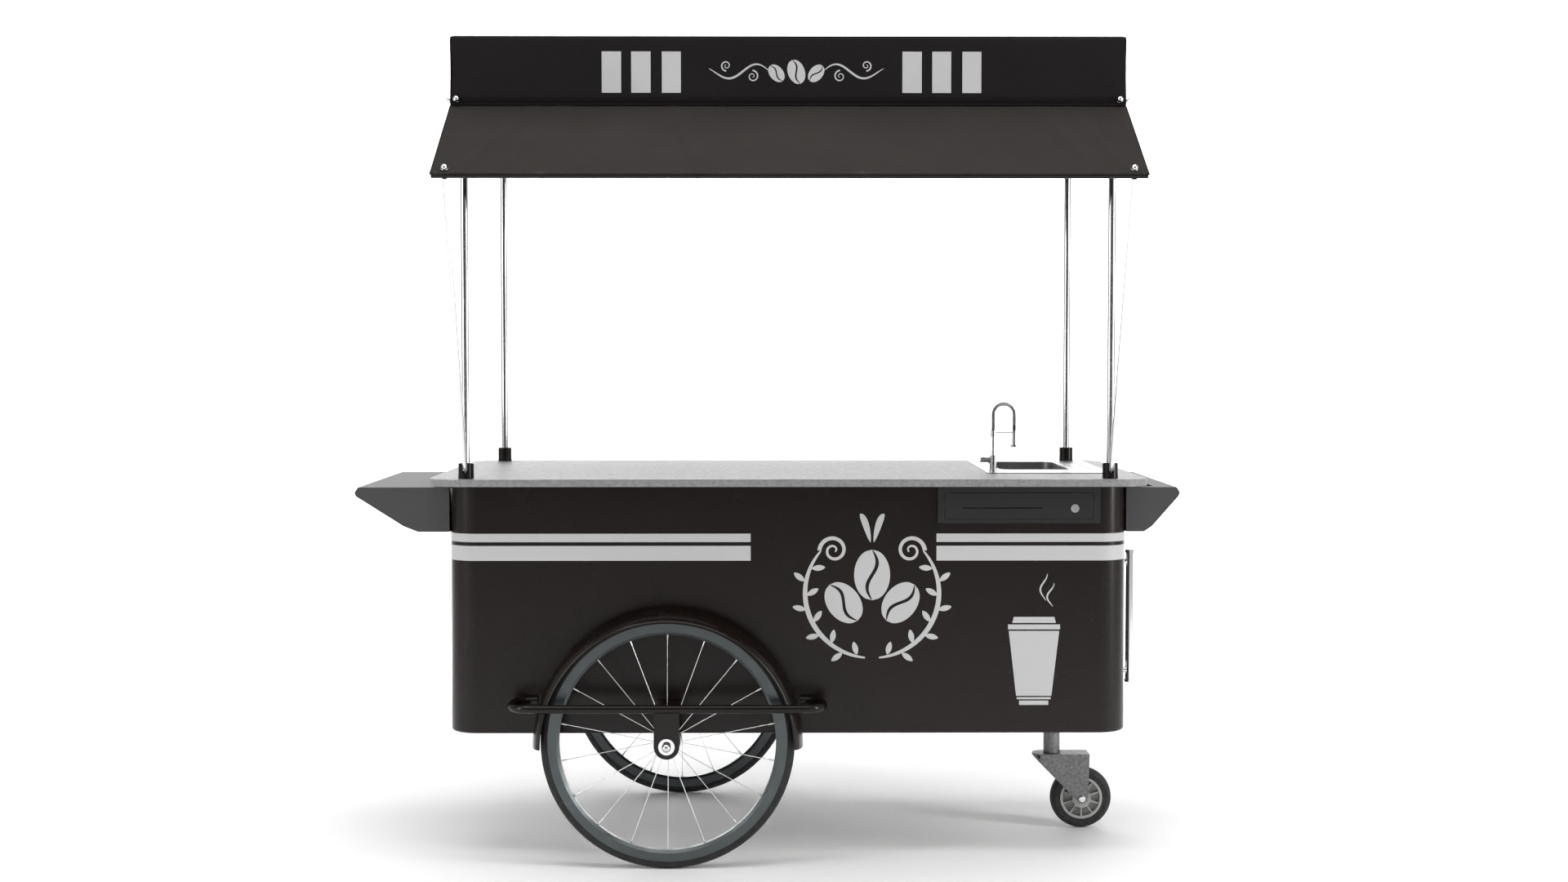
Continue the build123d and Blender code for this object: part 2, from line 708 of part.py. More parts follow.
with BuildPart() as faucet_spring:
    with BuildSketch(Plane.XY.offset(arch_foot)):
        with Locations((faucet_x, faucet_y)):
            Circle(spring_radius)
            Circle(spray_hose_radius + FIT, mode=Mode.SUBTRACT)
    sweep(path=arch_path(counter_height + spring_end))
keep(faucet_spring, "faucet_spring")

with BuildPart() as spray_hose:
    with BuildSketch(Plane.XY.offset(arch_foot)):
        with Locations((faucet_x, faucet_y)):
            Circle(spray_hose_radius)
    sweep(path=arch_path(counter_height + spray_top))
keep(spray_hose, "spray_hose")

with BuildPart() as spray_head:
    with Locations((spout_x, faucet_y, counter_height + (spray_top + spray_bottom) / 2)):
        Cylinder(spray_radius, spray_top - spray_bottom)
    with Locations((spout_x, faucet_y, counter_height + spray_bottom - nozzle_height / 2)):
        Cylinder(nozzle_radius, nozzle_height)
    fillet(spray_head.edges().group_by(Axis.Z)[0], spray_edge)
keep(spray_head, "spray_head")

# ---------------------------------------------------------------- side shelf and side bin


def side_profile(reach, knee, foot, inset=0.0):
    """Outline of a side pod in its own X (away from the cabinet) and Z, inset by a sheet thickness."""
    top = side_top - inset
    bottom = side_top - side_drop + inset
    tip = reach - inset
    return [(0, top), (tip - side_brow, top), (tip, top - side_tip_drop),
            (tip - side_tip_back, top - side_tip_turn), (tip - knee, bottom + side_knee_rise),
            (tip - foot, bottom), (0, bottom)]


with BuildPart() as side_shelf:
    with BuildSketch(Plane.XZ.offset(-side_half_width)):
        with BuildLine():
            outline = side_profile(shelf_reach, shelf_knee, shelf_foot)
            Polyline([(-cabinet_end - x, z) for x, z in outline], close=True)
        make_face()
    extrude(amount=2 * side_half_width)
    with BuildSketch(Plane.XZ.offset(-side_half_width + side_sheet)):
        with BuildLine():
            outline = side_profile(shelf_reach, shelf_knee, shelf_foot, side_sheet)
            Polyline([(-cabinet_end - x, z) for x, z in outline], close=True)
        make_face()
    extrude(amount=2 * (side_half_width - side_sheet), mode=Mode.SUBTRACT)
keep(side_shelf, "side_shelf")

with BuildPart() as side_bin:
    with BuildSketch(Plane.XZ.offset(-side_half_width)):
        with BuildLine():
            outline = side_profile(bin_reach, bin_knee, bin_foot)
            Polyline([(cabinet_end + x, z) for x, z in outline], close=True)
        make_face()
    extrude(amount=2 * side_half_width)
    with BuildSketch(Plane.XZ.offset(-side_half_width + side_sheet)):
        with BuildLine():
            outline = side_profile(bin_reach, bin_knee, bin_foot, side_sheet)
            Polyline([(cabinet_end + max(x, side_sheet), z) for x, z in outline], close=True)
        make_face()
    extrude(amount=2 * (side_half_width - side_sheet), mode=Mode.SUBTRACT)
    with BuildSketch(Plane.XY.offset(side_top - 2 * side_sheet)):
        with Locations((cabinet_end + bin_opening_inset + bin_opening_reach / 2, 0)):
            RectangleRounded(bin_opening_reach, 2 * bin_opening_half_width, bin_opening_corner)
    extrude(amount=3 * side_sheet, mode=Mode.SUBTRACT)
keep(side_bin, "side_bin")

# ---------------------------------------------------------------- push handle
handle_middle = (handle_bottom + handle_top) / 2
handle_length = handle_top - handle_bottom
stem_heights = (handle_bottom + handle_stem_inset, handle_top - handle_stem_inset)
with BuildPart() as push_handle:
    with Locations((handle_x, 0, handle_middle)):
        Cylinder(handle_radius, handle_length)
    with Locations((handle_x, 0, handle_bottom + handle_collar_height / 2),
                   (handle_x, 0, handle_top - handle_collar_height / 2)):
        Cylinder(handle_collar, handle_collar_height)
    with Locations(*[((cabinet_end + handle_x) / 2, 0, height) for height in stem_heights]):
        Cylinder(handle_stem_radius, handle_x - cabinet_end, rotation=(0, 90, 0))
    with Locations(*[(cabinet_end + handle_rose_thickness / 2, 0, height) for height in stem_heights]):
        Cylinder(handle_rose_radius, handle_rose_thickness, rotation=(0, 90, 0))
keep(push_handle, "push_handle")

# ---------------------------------------------------------------- wheels
for name, side in wheel_side.items():
    axle_axis = Axis((wheel_x, 0, wheel_radius), (0, 1, 0))
    section_plane = Plane(origin=(wheel_x, side * half_track, wheel_radius), x_dir=(0, 1, 0), z_dir=(1, 0, 0))

    seat = rim_half_width - rim_flange - FIT
    shoulder = rim_outer + CLEAR
    with BuildPart() as tyre:
        with BuildSketch(section_plane):
            with BuildLine():
                Line((-seat, rim_well + FIT), (seat, rim_well + FIT))
                Line((seat, rim_well + FIT), (seat, shoulder))
                Line((seat, shoulder), (tyre_half_width, shoulder))
                ThreePointArc((tyre_half_width, shoulder), (0, wheel_radius), (-tyre_half_width, shoulder))
                Line((-tyre_half_width, shoulder), (-seat, shoulder))
                Line((-seat, shoulder), (-seat, rim_well + FIT))
            make_face()
        revolve(axis=axle_axis)
    keep(tyre, f"{name}_tyre")

    with BuildPart() as rim:
        with BuildSketch(section_plane):
            with BuildLine():
                inside = rim_half_width - rim_flange
                Polyline((-rim_half_width, rim_outer), (-rim_half_width, rim_inner + rim_slope),
                         (-rim_bed_half, rim_inner), (rim_bed_half, rim_inner),
                         (rim_half_width, rim_inner + rim_slope), (rim_half_width, rim_outer),
                         (inside, rim_outer), (inside, rim_well), (-inside, rim_well),
                         (-inside, rim_outer), close=True)
            make_face()
        revolve(axis=axle_axis)
    keep(rim, f"{name}_rim")

    spoke_foot = hub_flange_radius + CLEAR
    with BuildPart() as spokes:
        for index in range(spoke_count):
            angle = radians(90 + index * 360 / spoke_count)
            flange = hub_flange_offset if index % 2 else -hub_flange_offset
            foot = (wheel_x + spoke_foot * cos(angle), side * half_track + flange,
                    wheel_radius + spoke_foot * sin(angle))
            tip = (wheel_x + rim_inner * cos(angle), side * half_track,
                   wheel_radius + rim_inner * sin(angle))
            length = distance(foot, tip)
            with BuildSketch(bar_plane(foot, tip)):
                Circle(spoke_radius)
            extrude(amount=length - nipple_length)
            with BuildSketch(bar_plane(foot, tip).offset(length - nipple_length)):
                Circle(nipple_radius)
            extrude(amount=nipple_length - CLEAR)
    keep(spokes, f"{name}_spokes")

    with BuildPart() as hub:
        with BuildSketch(section_plane):
            with Locations((0, hub_barrel_radius / 2)):
                Rectangle(2 * hub_half_length, hub_barrel_radius)
            with Locations((-hub_flange_offset, hub_flange_radius / 2),
                           (hub_flange_offset, hub_flange_radius / 2)):
                Rectangle(hub_flange_thickness, hub_flange_radius)
            with Locations((0, (axle_radius + hub_bore_gap) / 2)):
                Rectangle(2 * hub_half_length, axle_radius + hub_bore_gap, mode=Mode.SUBTRACT)
            for end in (-1, 1):
                with Locations((end * (hub_half_length - bearing_width / 2), bearing_radius / 2)):
                    Rectangle(bearing_width, bearing_radius, mode=Mode.SUBTRACT)
        revolve(axis=axle_axis)
    keep(hub, f"{name}_hub")

with BuildPart() as wheel_bearings:
    for side in wheel_side.values():
        for end in (-1, 1):
            bearing_y = side * half_track + end * (hub_half_length - bearing_width / 2)
            with Locations((wheel_x, bearing_y, wheel_radius)):
                Cylinder(bearing_radius - RUNNING, bearing_width, rotation=(90, 0, 0))
                Cylinder(axle_radius + RUNNING, bearing_width, rotation=(90, 0, 0), mode=Mode.SUBTRACT)
keep(wheel_bearings, "wheel_bearings")

# ---------------------------------------------------------------- axles, fenders and guards
plate_outer = guard_y + axle_plate_thickness / 2
hanger_face = cabinet_side + axle_plate_thickness
shoulder_end = half_track - hub_half_length - CLEAR
axle_grip = axle_washer_thickness + cap_nut_height / 2
with BuildPart() as axle_hangers:
    for side in wheel_side.values():
        with BuildSketch(Plane.XZ.offset(-side * hanger_face)):
            with Locations((wheel_x, (wheel_radius + guard_height) / 2)):
                Rectangle(axle_plate_width, guard_height - wheel_radius)
            with Locations((wheel_x, wheel_radius)):
                Circle(axle_plate_width / 2)
                Circle(axle_radius + RUNNING, mode=Mode.SUBTRACT)
        extrude(amount=side * axle_plate_thickness)
keep(axle_hangers, "axle_hangers")

with BuildPart() as stub_axles:
    for side in wheel_side.values():
        axle_start = cabinet_side + FIT
        axle_end = plate_outer + axle_grip
        with Locations((wheel_x, side * (axle_start + axle_end) / 2, wheel_radius)):
            Cylinder(axle_radius, axle_end - axle_start, rotation=(90, 0, 0))
        with Locations((wheel_x, side * (hanger_face + shoulder_end) / 2, wheel_radius)):
            Cylinder(axle_shoulder, shoulder_end - hanger_face, rotation=(90, 0, 0))
keep(stub_axles, "stub_axles")

with BuildPart() as axle_cap_nuts:
    for side in wheel_side.values():
        outside = Plane(origin=(wheel_x, side * plate_outer, wheel_radius), z_dir=(0, side, 0))
        upwards = (Align.CENTER, Align.CENTER, Align.MIN)
        with Locations(outside.location):
            Cylinder(axle_washer_radius, axle_washer_thickness, align=upwards)
            Cylinder(cap_nut_radius, axle_washer_thickness + cap_nut_height, align=upwards)
        with Locations(outside.offset(axle_washer_thickness + cap_nut_height).location):
            Sphere(cap_nut_radius, arc_size1=0, align=upwards)
        with Locations(outside.location):
            Cylinder(axle_radius + RUNNING, axle_grip + FIT, align=upwards, mode=Mode.SUBTRACT)
keep(axle_cap_nuts, "axle_cap_nuts")

with BuildPart() as wheel_fenders:
    for side in wheel_side.values():
        with BuildSketch(Plane(origin=(wheel_x, side * cabinet_side, fender_z), x_dir=(0, side, 0),
                               z_dir=(side, 0, 0))):
            drop = fender_radius - fender_lip_radius
            curve = fender_width - fender_flat
            with BuildLine():
                Line((0, fender_radius), (fender_flat, fender_radius))
                EllipticalCenterArc((fender_flat, fender_lip_radius), curve, drop, start_angle=0, arc_size=90)
                Line((fender_width, fender_lip_radius), (fender_width - fender_sheet, fender_lip_radius))
                EllipticalCenterArc((fender_flat, fender_lip_radius), curve - fender_sheet,
                                    drop - fender_sheet, start_angle=0, arc_size=90)
                Line((fender_flat, fender_radius - fender_sheet), (0, fender_radius - fender_sheet))
                Line((0, fender_radius - fender_sheet), (0, fender_radius))
            make_face()
        revolve(axis=Axis((wheel_x, 0, fender_z), (0, 1, 0)))
    with Locations((wheel_x, 0, fender_z - fender_radius)):
        Box(3 * fender_radius, 2 * (cabinet_side + 2 * fender_width), 2 * fender_radius, mode=Mode.SUBTRACT)
keep(wheel_fenders, "wheel_fenders")

for name, side in wheel_side.items():
    with BuildPart() as guard:
        run_y = cabinet_side + guard_radius
        with BuildLine(Plane.XY.offset(guard_height)) as guard_path:
            corners = [(wheel_x - guard_half_length + guard_return, side * run_y),
                       (wheel_x - guard_half_length, side * run_y),
                       (wheel_x - guard_half_length, side * guard_y),
                       (wheel_x + guard_half_length, side * guard_y),
                       (wheel_x + guard_half_length, side * run_y),
                       (wheel_x + guard_half_length - guard_return, side * run_y)]
            FilletPolyline(*corners, radius=guard_corner)
        with BuildSketch(Plane(origin=(*corners[0], guard_height), z_dir=(-1, 0, 0))):
            Circle(guard_radius)
        sweep(path=guard_path.line)
        with BuildSketch(Plane.XZ.offset(-side * plate_outer)):
            with Locations((wheel_x, (wheel_radius + guard_height) / 2)):
                Rectangle(axle_plate_width, guard_height - wheel_radius)
            with Locations((wheel_x, wheel_radius)):
                Circle(axle_plate_width / 2)
        extrude(amount=side * axle_plate_thickness)
        with Locations((wheel_x, side * guard_y, wheel_radius)):
            Cylinder(axle_radius + RUNNING, 3 * axle_plate_thickness, rotation=(90, 0, 0),
                     mode=Mode.SUBTRACT)
    keep(guard, f"{name}_wheel_guard")

# ---------------------------------------------------------------- caster
with BuildPart() as caster_stem:
    with Locations((swivel_x, 0, cabinet_bottom - stem_plate_thickness / 2)):
        Box(*stem_plate, stem_plate_thickness)
    with Locations((swivel_x, 0, (stem_bottom + cabinet_bottom - stem_plate_thickness) / 2)):
        Cylinder(stem_radius, cabinet_bottom - stem_plate_thickness - stem_bottom)
    with Locations((swivel_x, 0, (king_pin_bottom + stem_bottom) / 2)):
        Cylinder(king_pin_radius, stem_bottom - king_pin_bottom)
    # upset head that keeps the fork on the king pin
    with BuildSketch(Plane.XY.offset(fork_top - fork_sheet - CLEAR - king_nut_height)):
        with Locations((swivel_x, 0)):
            RegularPolygon(king_nut_radius, 6)
    extrude(amount=king_nut_height)
keep(caster_stem, "caster_stem")

with BuildPart() as caster_bearing:
    with Locations((swivel_x, 0, (fork_top + CLEAR + stem_bottom) / 2)):
        Cylinder(stem_radius + bearing_rim, stem_bottom - fork_top - CLEAR)
        Cylinder(king_pin_radius + RUNNING, stem_bottom - fork_top, mode=Mode.SUBTRACT)
keep(caster_bearing, "caster_bearing")

throat_x = caster_wheel_x - fork_throat
behind_fork = fork_tail_x + caster_radius
with BuildPart() as fork_space:
    with BuildSketch(Plane.XZ.offset(-fork_half_width + fork_sheet)):
        with BuildLine():
            Polyline((fork_nose_x + fork_nose_wall, fork_top - fork_sheet),
                     (behind_fork, fork_top - fork_sheet), (behind_fork, 0), (throat_x, 0),
                     (throat_x, caster_radius + fork_throat_rise), close=True)
        make_face()
        with Locations((caster_wheel_x, caster_radius)):
            Circle(caster_radius + fork_wheel_gap)
    extrude(amount=2 * (fork_half_width - fork_sheet))

with BuildPart() as caster_fork:
    with BuildSketch(Plane.XZ.offset(-fork_half_width)):
        with BuildLine():
            Polyline((fork_nose_x, fork_top), (fork_tail_x, fork_top),
                     (fork_tail_x - fork_tail_taper, caster_radius),
                     (caster_wheel_x + fork_ear_half_width, caster_radius),
                     (caster_wheel_x + fork_ear_half_width, caster_radius - fork_ear_shoulder),
                     (caster_wheel_x, caster_radius - fork_ear_point),
                     (caster_wheel_x - fork_ear_half_width - fork_ear_lean, caster_radius),
                     (fork_nose_x, fork_top - fork_nose_drop), close=True)
        make_face()
    extrude(amount=2 * fork_half_width)
    add(fork_space.part, mode=Mode.SUBTRACT)
    # round nose of the fork seen from above
    with BuildSketch(Plane.XY):
        with Locations(((fork_nose_x + fork_half_width + fork_tail_x) / 2, 0)):
            Rectangle(fork_tail_x - fork_nose_x - fork_half_width, 2 * fork_half_width)
        with Locations((fork_nose_x + fork_half_width, 0)):
            Circle(fork_half_width)
    extrude(amount=fork_top, mode=Mode.INTERSECT)
    with Locations((swivel_x, 0, fork_top)):
        Cylinder(king_pin_radius + RUNNING, 3 * fork_sheet, mode=Mode.SUBTRACT)
    with Locations((caster_wheel_x, 0, caster_radius)):
        Cylinder(caster_axle_radius + RUNNING, 3 * fork_half_width, rotation=(90, 0, 0),
                 mode=Mode.SUBTRACT)
keep(caster_fork, "caster_fork")

caster_axis = Axis((caster_wheel_x, 0, caster_radius), (0, 1, 0))
caster_section = Plane(origin=(caster_wheel_x, 0, caster_radius), x_dir=(0, 1, 0), z_dir=(1, 0, 0))
with BuildPart() as caster_tyre:
    with BuildSketch(caster_section):
        with BuildLine():
            edge = caster_tread_half
            inner = caster_core_radius + FIT
            outer = caster_radius - caster_crown
            Line((-edge, inner), (edge, inner))
            Line((edge, inner), (edge, outer))
            ThreePointArc((edge, outer), (0, caster_radius), (-edge, outer))
            Line((-edge, outer), (-edge, inner))
        make_face()
    revolve(axis=caster_axis)
keep(caster_tyre, "caster_tyre")

boss_half = fork_half_width - fork_sheet - CLEAR
rib_lap = 2
with BuildPart() as caster_hub:
    with BuildSketch(caster_section):
        with Locations((0, caster_core_radius - caster_rim_band / 2)):
            Rectangle(2 * caster_tread_half, caster_rim_band)
        with Locations((0, caster_core_radius / 2)):
            Rectangle(2 * caster_web_half, caster_core_radius)
        with Locations((0, caster_boss_radius / 2)):
            Rectangle(2 * boss_half, caster_boss_radius)
        with Locations((0, (caster_axle_radius + RUNNING) / 2)):
            Rectangle(2 * fork_half_width, caster_axle_radius + RUNNING, mode=Mode.SUBTRACT)
    revolve(axis=caster_axis)
    with BuildSketch(Plane.XZ.offset(-caster_tread_half + caster_rib_inset)):
        with Locations((caster_wheel_x, caster_radius)):
            rib_length = caster_core_radius - caster_boss_radius - caster_rim_band / 2 + rib_lap
            with PolarLocations(caster_boss_radius - rib_lap / 2 + rib_length / 2, caster_rib_count,
                                start_angle=180 / caster_rib_count):
                Rectangle(rib_length, caster_rib_width)
    extrude(amount=2 * (caster_tread_half - caster_rib_inset))
keep(caster_hub, "caster_hub")

with BuildPart() as caster_axle:
    with Locations((caster_wheel_x, 0, caster_radius)):
        Cylinder(caster_axle_radius, 2 * fork_half_width, rotation=(90, 0, 0))
    for side in (-1, 1):
        with Locations((caster_wheel_x, side * (fork_half_width + caster_axle_head_height / 2),
                        caster_radius)):
            Cylinder(caster_axle_head, caster_axle_head_height, rotation=(90, 0, 0))
    head_edges = caster_axle.edges().group_by(Axis.Y)
    fillet(head_edges[0] + head_edges[-1], caster_axle_edge)
keep(caster_axle, "caster_axle")

# ---------------------------------------------------------------- poles, struts and canopy
corner_signs = [(-1, -1), (1, -1), (-1, 1), (1, 1)]
pole_foot = counter_height + socket_floor
ring_bottom = bolt_height - rail / 2
ring_top = canopy_top - fabric - CLEAR
frame_end = canopy_half_length - fabric - CLEAR
frame_side = canopy_half_depth - fabric - CLEAR
flap_run = flap_front - canopy_half_depth
flap_fall = canopy_fold - flap_bottom
flap_length = hypot(flap_run, flap_fall)
flap_slope = atan2(flap_fall, flap_run)
# the bar under the flap's lower edge
bar_depth = flap_bar_radius + fabric + CLEAR
bar_y = -flap_front + flap_bar_inset * cos(flap_slope) + bar_depth * sin(flap_slope)
bar_z = flap_bottom + flap_bar_inset * sin(flap_slope) - bar_depth * cos(flap_slope)
strut_foot = (-pole_y - pole_radius - strut_radius - strut_gap,
              counter_height + socket_height - notch_depth + strut_foot_rise)
strut_slope = atan2(bar_z - strut_foot[1], strut_foot[0] - bar_y)
strut_head = (bar_y + (flap_bar_radius + CLEAR) * cos(strut_slope),
              bar_z - (flap_bar_radius + CLEAR) * sin(strut_slope))

arm_foot = (bar_y + (flap_bar_radius + CLEAR) * cos(flap_slope),
            bar_z + (flap_bar_radius + CLEAR) * sin(flap_slope))
arm_end_y = -pole_y - pole_radius - CLEAR - flap_arm_radius * sin(flap_slope)
arm_reach = (arm_end_y - arm_foot[0]) / cos(flap_slope)
arm_head = (arm_foot[0] + arm_reach * cos(flap_slope), arm_foot[1] + arm_reach * sin(flap_slope))

# dome bolts through the fabric: origin on the fabric, normal outwards
flap_normal = (0, -sin(flap_slope), cos(flap_slope))
flap_bolt_y = -flap_front + flap_bolt_inset * cos(flap_slope)
flap_bolt_z = flap_bottom + flap_bolt_inset * sin(flap_slope)
bolt_planes = []
for along, across in corner_signs:
    bolt_planes.append(Plane(origin=(along * front_bolt_x, across * canopy_half_depth, bolt_height),
                             z_dir=(0, across, 0)))
    bolt_planes.append(Plane(origin=(along * canopy_half_length, across * side_bolt_y, bolt_height),
                             z_dir=(along, 0, 0)))
flap_bolt_planes = [Plane(origin=(along * flap_bolt_x, flap_bolt_y, flap_bolt_z), z_dir=flap_normal)
                    for along in (-1, 1)]

with BuildPart() as pole_sockets:
    for along, across in corner_signs:
        with BuildSketch(Plane.XY.offset(counter_height)):
            with Locations((along * pole_x, across * pole_y)):
                Circle(socket_radius)
        extrude(amount=socket_height)
    fillet(pole_sockets.edges().group_by(Axis.Z)[-1], socket_edge)
    for along, across in corner_signs:
        with Locations((along * pole_x, across * pole_y, pole_foot + socket_height / 2)):
            Cylinder(pole_radius + FIT, socket_height, mode=Mode.SUBTRACT)
        if across < 0:
            with Locations((along * pole_x, -pole_y - socket_radius,
                            counter_height + socket_height - notch_depth / 2)):
                Box(notch_width, 2 * (socket_radius - pole_radius), notch_depth, mode=Mode.SUBTRACT)
keep(pole_sockets, "pole_sockets")

with BuildPart() as poles:
    for along, across in corner_signs:
        with BuildSketch(Plane.XY.offset(pole_foot)):
            with Locations((along * pole_x, across * pole_y)):
                Circle(pole_radius)
                Circle(pole_radius - pole_sheet, mode=Mode.SUBTRACT)
        extrude(amount=ring_bottom - pole_foot)
keep(poles, "poles")

with BuildPart() as struts:
    for along in (-1, 1):
        foot = (along * pole_x, *strut_foot)
        head = (along * pole_x, *strut_head)
        with BuildSketch(bar_plane(foot, head)):
            Circle(strut_radius)
            Circle(strut_radius - pole_sheet, mode=Mode.SUBTRACT)
        extrude(amount=distance(foot, head))
keep(struts, "struts")

with BuildPart() as canopy_frame:
    for level in (ring_bottom, ring_top - rail):
        for across in (-1, 1):
            with Locations((0, across * (frame_side - rail / 2), level + rail / 2)):
                Box(2 * frame_end, rail, rail)
                Box(2 * frame_end, rail - 2 * rail_sheet, rail - 2 * rail_sheet, mode=Mode.SUBTRACT)
        for along in (-1, 1):
            with Locations((along * (frame_end - rail / 2), 0, level + rail / 2)):
                Box(rail, 2 * (frame_side - rail - FIT), rail)
                Box(rail - 2 * rail_sheet, 2 * (frame_side - rail - FIT), rail - 2 * rail_sheet,
                    mode=Mode.SUBTRACT)
    post_bottom = ring_bottom + rail + FIT
    post_top = ring_top - rail - FIT
    for along, across in corner_signs:
        with Locations((along * (frame_end - rail / 2), across * (frame_side - rail / 2),
                        (post_bottom + post_top) / 2)):
            Box(rail, rail, post_top - post_bottom)
            Box(rail - 2 * rail_sheet, rail - 2 * rail_sheet, post_top - post_bottom, mode=Mode.SUBTRACT)
    # bar under the flap's lower edge and the two arms that hold it off the front poles
    with Locations((0, bar_y, bar_z)):
        Cylinder(flap_bar_radius, 2 * frame_end, rotation=(0, 90, 0))
        Cylinder(flap_bar_radius - rail_sheet, 2 * frame_end, rotation=(0, 90, 0), mode=Mode.SUBTRACT)
    for along in (-1, 1):
        arm_start = (along * pole_x, *arm_foot)
        arm_end = (along * pole_x, *arm_head)
        with BuildSketch(bar_plane(arm_start, arm_end)):
            Circle(flap_arm_radius)
        extrude(amount=distance(arm_start, arm_end))
    for place in bolt_planes:
        with Locations(place.location):
            Cylinder(bolt_shank + FIT, 2 * bolt_length, mode=Mode.SUBTRACT)
keep(canopy_frame, "canopy_frame")

with BuildPart() as canopy_cover:
    side_bottom = canopy_fold
    side_height = canopy_top - fabric - side_bottom - CLEAR
    with Locations((0, 0, canopy_top - fabric / 2)):
        Box(2 * canopy_half_length, 2 * canopy_half_depth, fabric)
    for across in (-1, 1):
        with Locations((0, across * (canopy_half_depth - fabric / 2), side_bottom + side_height / 2)):
            Box(2 * canopy_half_length, fabric, side_height)
    for along in (-1, 1):
        with Locations((along * (canopy_half_length - fabric / 2), 0, side_bottom + side_height / 2)):
            Box(fabric, 2 * (canopy_half_depth - fabric - CLEAR), side_height)
    for place in bolt_planes:
        with Locations(place.location):
            Cylinder(bolt_shank + FIT, 2 * bolt_length, mode=Mode.SUBTRACT)
keep(canopy_cover, "canopy_cover")

with BuildPart() as canopy_flap:
    with BuildSketch(Plane(origin=(0, -canopy_half_depth, canopy_fold), x_dir=(1, 0, 0),
                           z_dir=(0, -sin(flap_slope), cos(flap_slope)))):
        with Locations((0, -flap_length / 2)):
            Rectangle(2 * canopy_half_length, flap_length)
    extrude(amount=-fabric)
    for place in flap_bolt_planes:
        with Locations(place.location):
            Cylinder(bolt_shank + FIT, 2 * flap_bolt_length, mode=Mode.SUBTRACT)
keep(canopy_flap, "canopy_flap")

with BuildPart() as canopy_bolts:
    for places, length in ((bolt_planes, bolt_length), (flap_bolt_planes, flap_bolt_length)):
        for place in places:
            with Locations(place.location):
                Cylinder(bolt_shank, length, align=(Align.CENTER, Align.CENTER, Align.MAX))
                Cylinder(dome_washer, dome_washer_thickness, align=(Align.CENTER, Align.CENTER, Align.MIN))
                Cylinder(dome_radius, dome_straight, align=(Align.CENTER, Align.CENTER, Align.MIN))
            with Locations(place.offset(dome_straight).location):
                Sphere(dome_radius, arc_size1=0, align=(Align.CENTER, Align.CENTER, Align.MIN))
keep(canopy_bolts, "canopy_bolts")

# ---------------------------------------------------------------- origin and files
boxes = [piece.bounding_box() for piece in pieces]
left = min(box.min.X for box in boxes)
right = max(box.max.X for box in boxes)
front = min(box.min.Y for box in boxes)
back = max(box.max.Y for box in boxes)
shift = Location((-(left + right) / 2, -(front + back) / 2, 0))
for piece in pieces:
    name = piece.label
    placed = piece.moved(shift)
    placed.label = name
    export_step(placed, f"parts/{name}.step")
print("origin shift", shift.position.X, shift.position.Y, "pieces", len(pieces))
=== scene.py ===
import math
import bpy
import bmesh
from mathutils import Matrix, Vector, noise


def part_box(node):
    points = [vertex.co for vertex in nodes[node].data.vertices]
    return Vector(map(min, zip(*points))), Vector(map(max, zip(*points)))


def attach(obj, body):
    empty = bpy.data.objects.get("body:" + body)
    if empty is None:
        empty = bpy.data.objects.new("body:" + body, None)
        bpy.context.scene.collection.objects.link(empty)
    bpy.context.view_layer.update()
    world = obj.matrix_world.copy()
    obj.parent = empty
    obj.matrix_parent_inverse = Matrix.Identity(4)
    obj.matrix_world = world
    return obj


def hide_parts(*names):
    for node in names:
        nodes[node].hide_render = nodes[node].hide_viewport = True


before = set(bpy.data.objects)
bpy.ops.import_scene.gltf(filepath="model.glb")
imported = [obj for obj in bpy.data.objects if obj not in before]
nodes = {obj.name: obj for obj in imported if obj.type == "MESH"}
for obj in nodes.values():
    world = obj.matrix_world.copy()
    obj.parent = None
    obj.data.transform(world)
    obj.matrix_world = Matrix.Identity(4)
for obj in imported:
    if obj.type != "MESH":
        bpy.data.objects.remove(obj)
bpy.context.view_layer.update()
mm = 0.001


def toLinear(hexColour):
    parts = [int(hexColour[place:place + 2], 16) / 255 for place in (1, 3, 5)]
    return [part / 12.92 if part <= 0.04045 else ((part + 0.055) / 1.055) ** 2.4 for part in parts] + [1.0]


def addNode(tree, kind, settings=None, inputs=None):
    node = tree.nodes.new(kind)
    for name, value in (settings or {}).items():
        setattr(node, name, value)
    for name, value in (inputs or {}).items():
        if isinstance(value, bpy.types.NodeSocket):
            tree.links.new(value, node.inputs[name])
        else:
            node.inputs[name].default_value = value
    return node


def startMaterial(name, colour, **sockets):
    # a Principled material with its constant values on the shader's own sockets
    material = bpy.data.materials.new(name)
    material.use_nodes = True
    shader = material.node_tree.nodes["Principled BSDF"]
    shader.inputs["Base Color"].default_value = toLinear(colour)
    for socket, value in sockets.items():
        shader.inputs[socket.replace("_", " ")].default_value = value
    return material, material.node_tree, shader


def objectPoint(tree, scale=(1, 1, 1), turn=(0, 0, 0)):
    place = addNode(tree, "ShaderNodeTexCoord")
    return addNode(tree, "ShaderNodeMapping", inputs={
        "Vector": place.outputs["Object"], "Scale": scale, "Rotation": turn}).outputs["Vector"]


def mixColours(tree, factor, low, high):
    ramp = addNode(tree, "ShaderNodeValToRGB", inputs={"Fac": factor})
    ramp.color_ramp.elements[0].color = toLinear(low)
    ramp.color_ramp.elements[1].color = toLinear(high)
    return ramp


def remap(tree, value, low, high):
    return addNode(tree, "ShaderNodeMapRange", inputs={
        "Value": value, "To Min": low, "To Max": high}).outputs["Result"]


def bump(tree, shader, height, strength, depth):
    node = addNode(tree, "ShaderNodeBump", inputs={"Height": height, "Strength": strength, "Distance": depth})
    tree.links.new(node.outputs["Normal"], shader.inputs["Normal"])


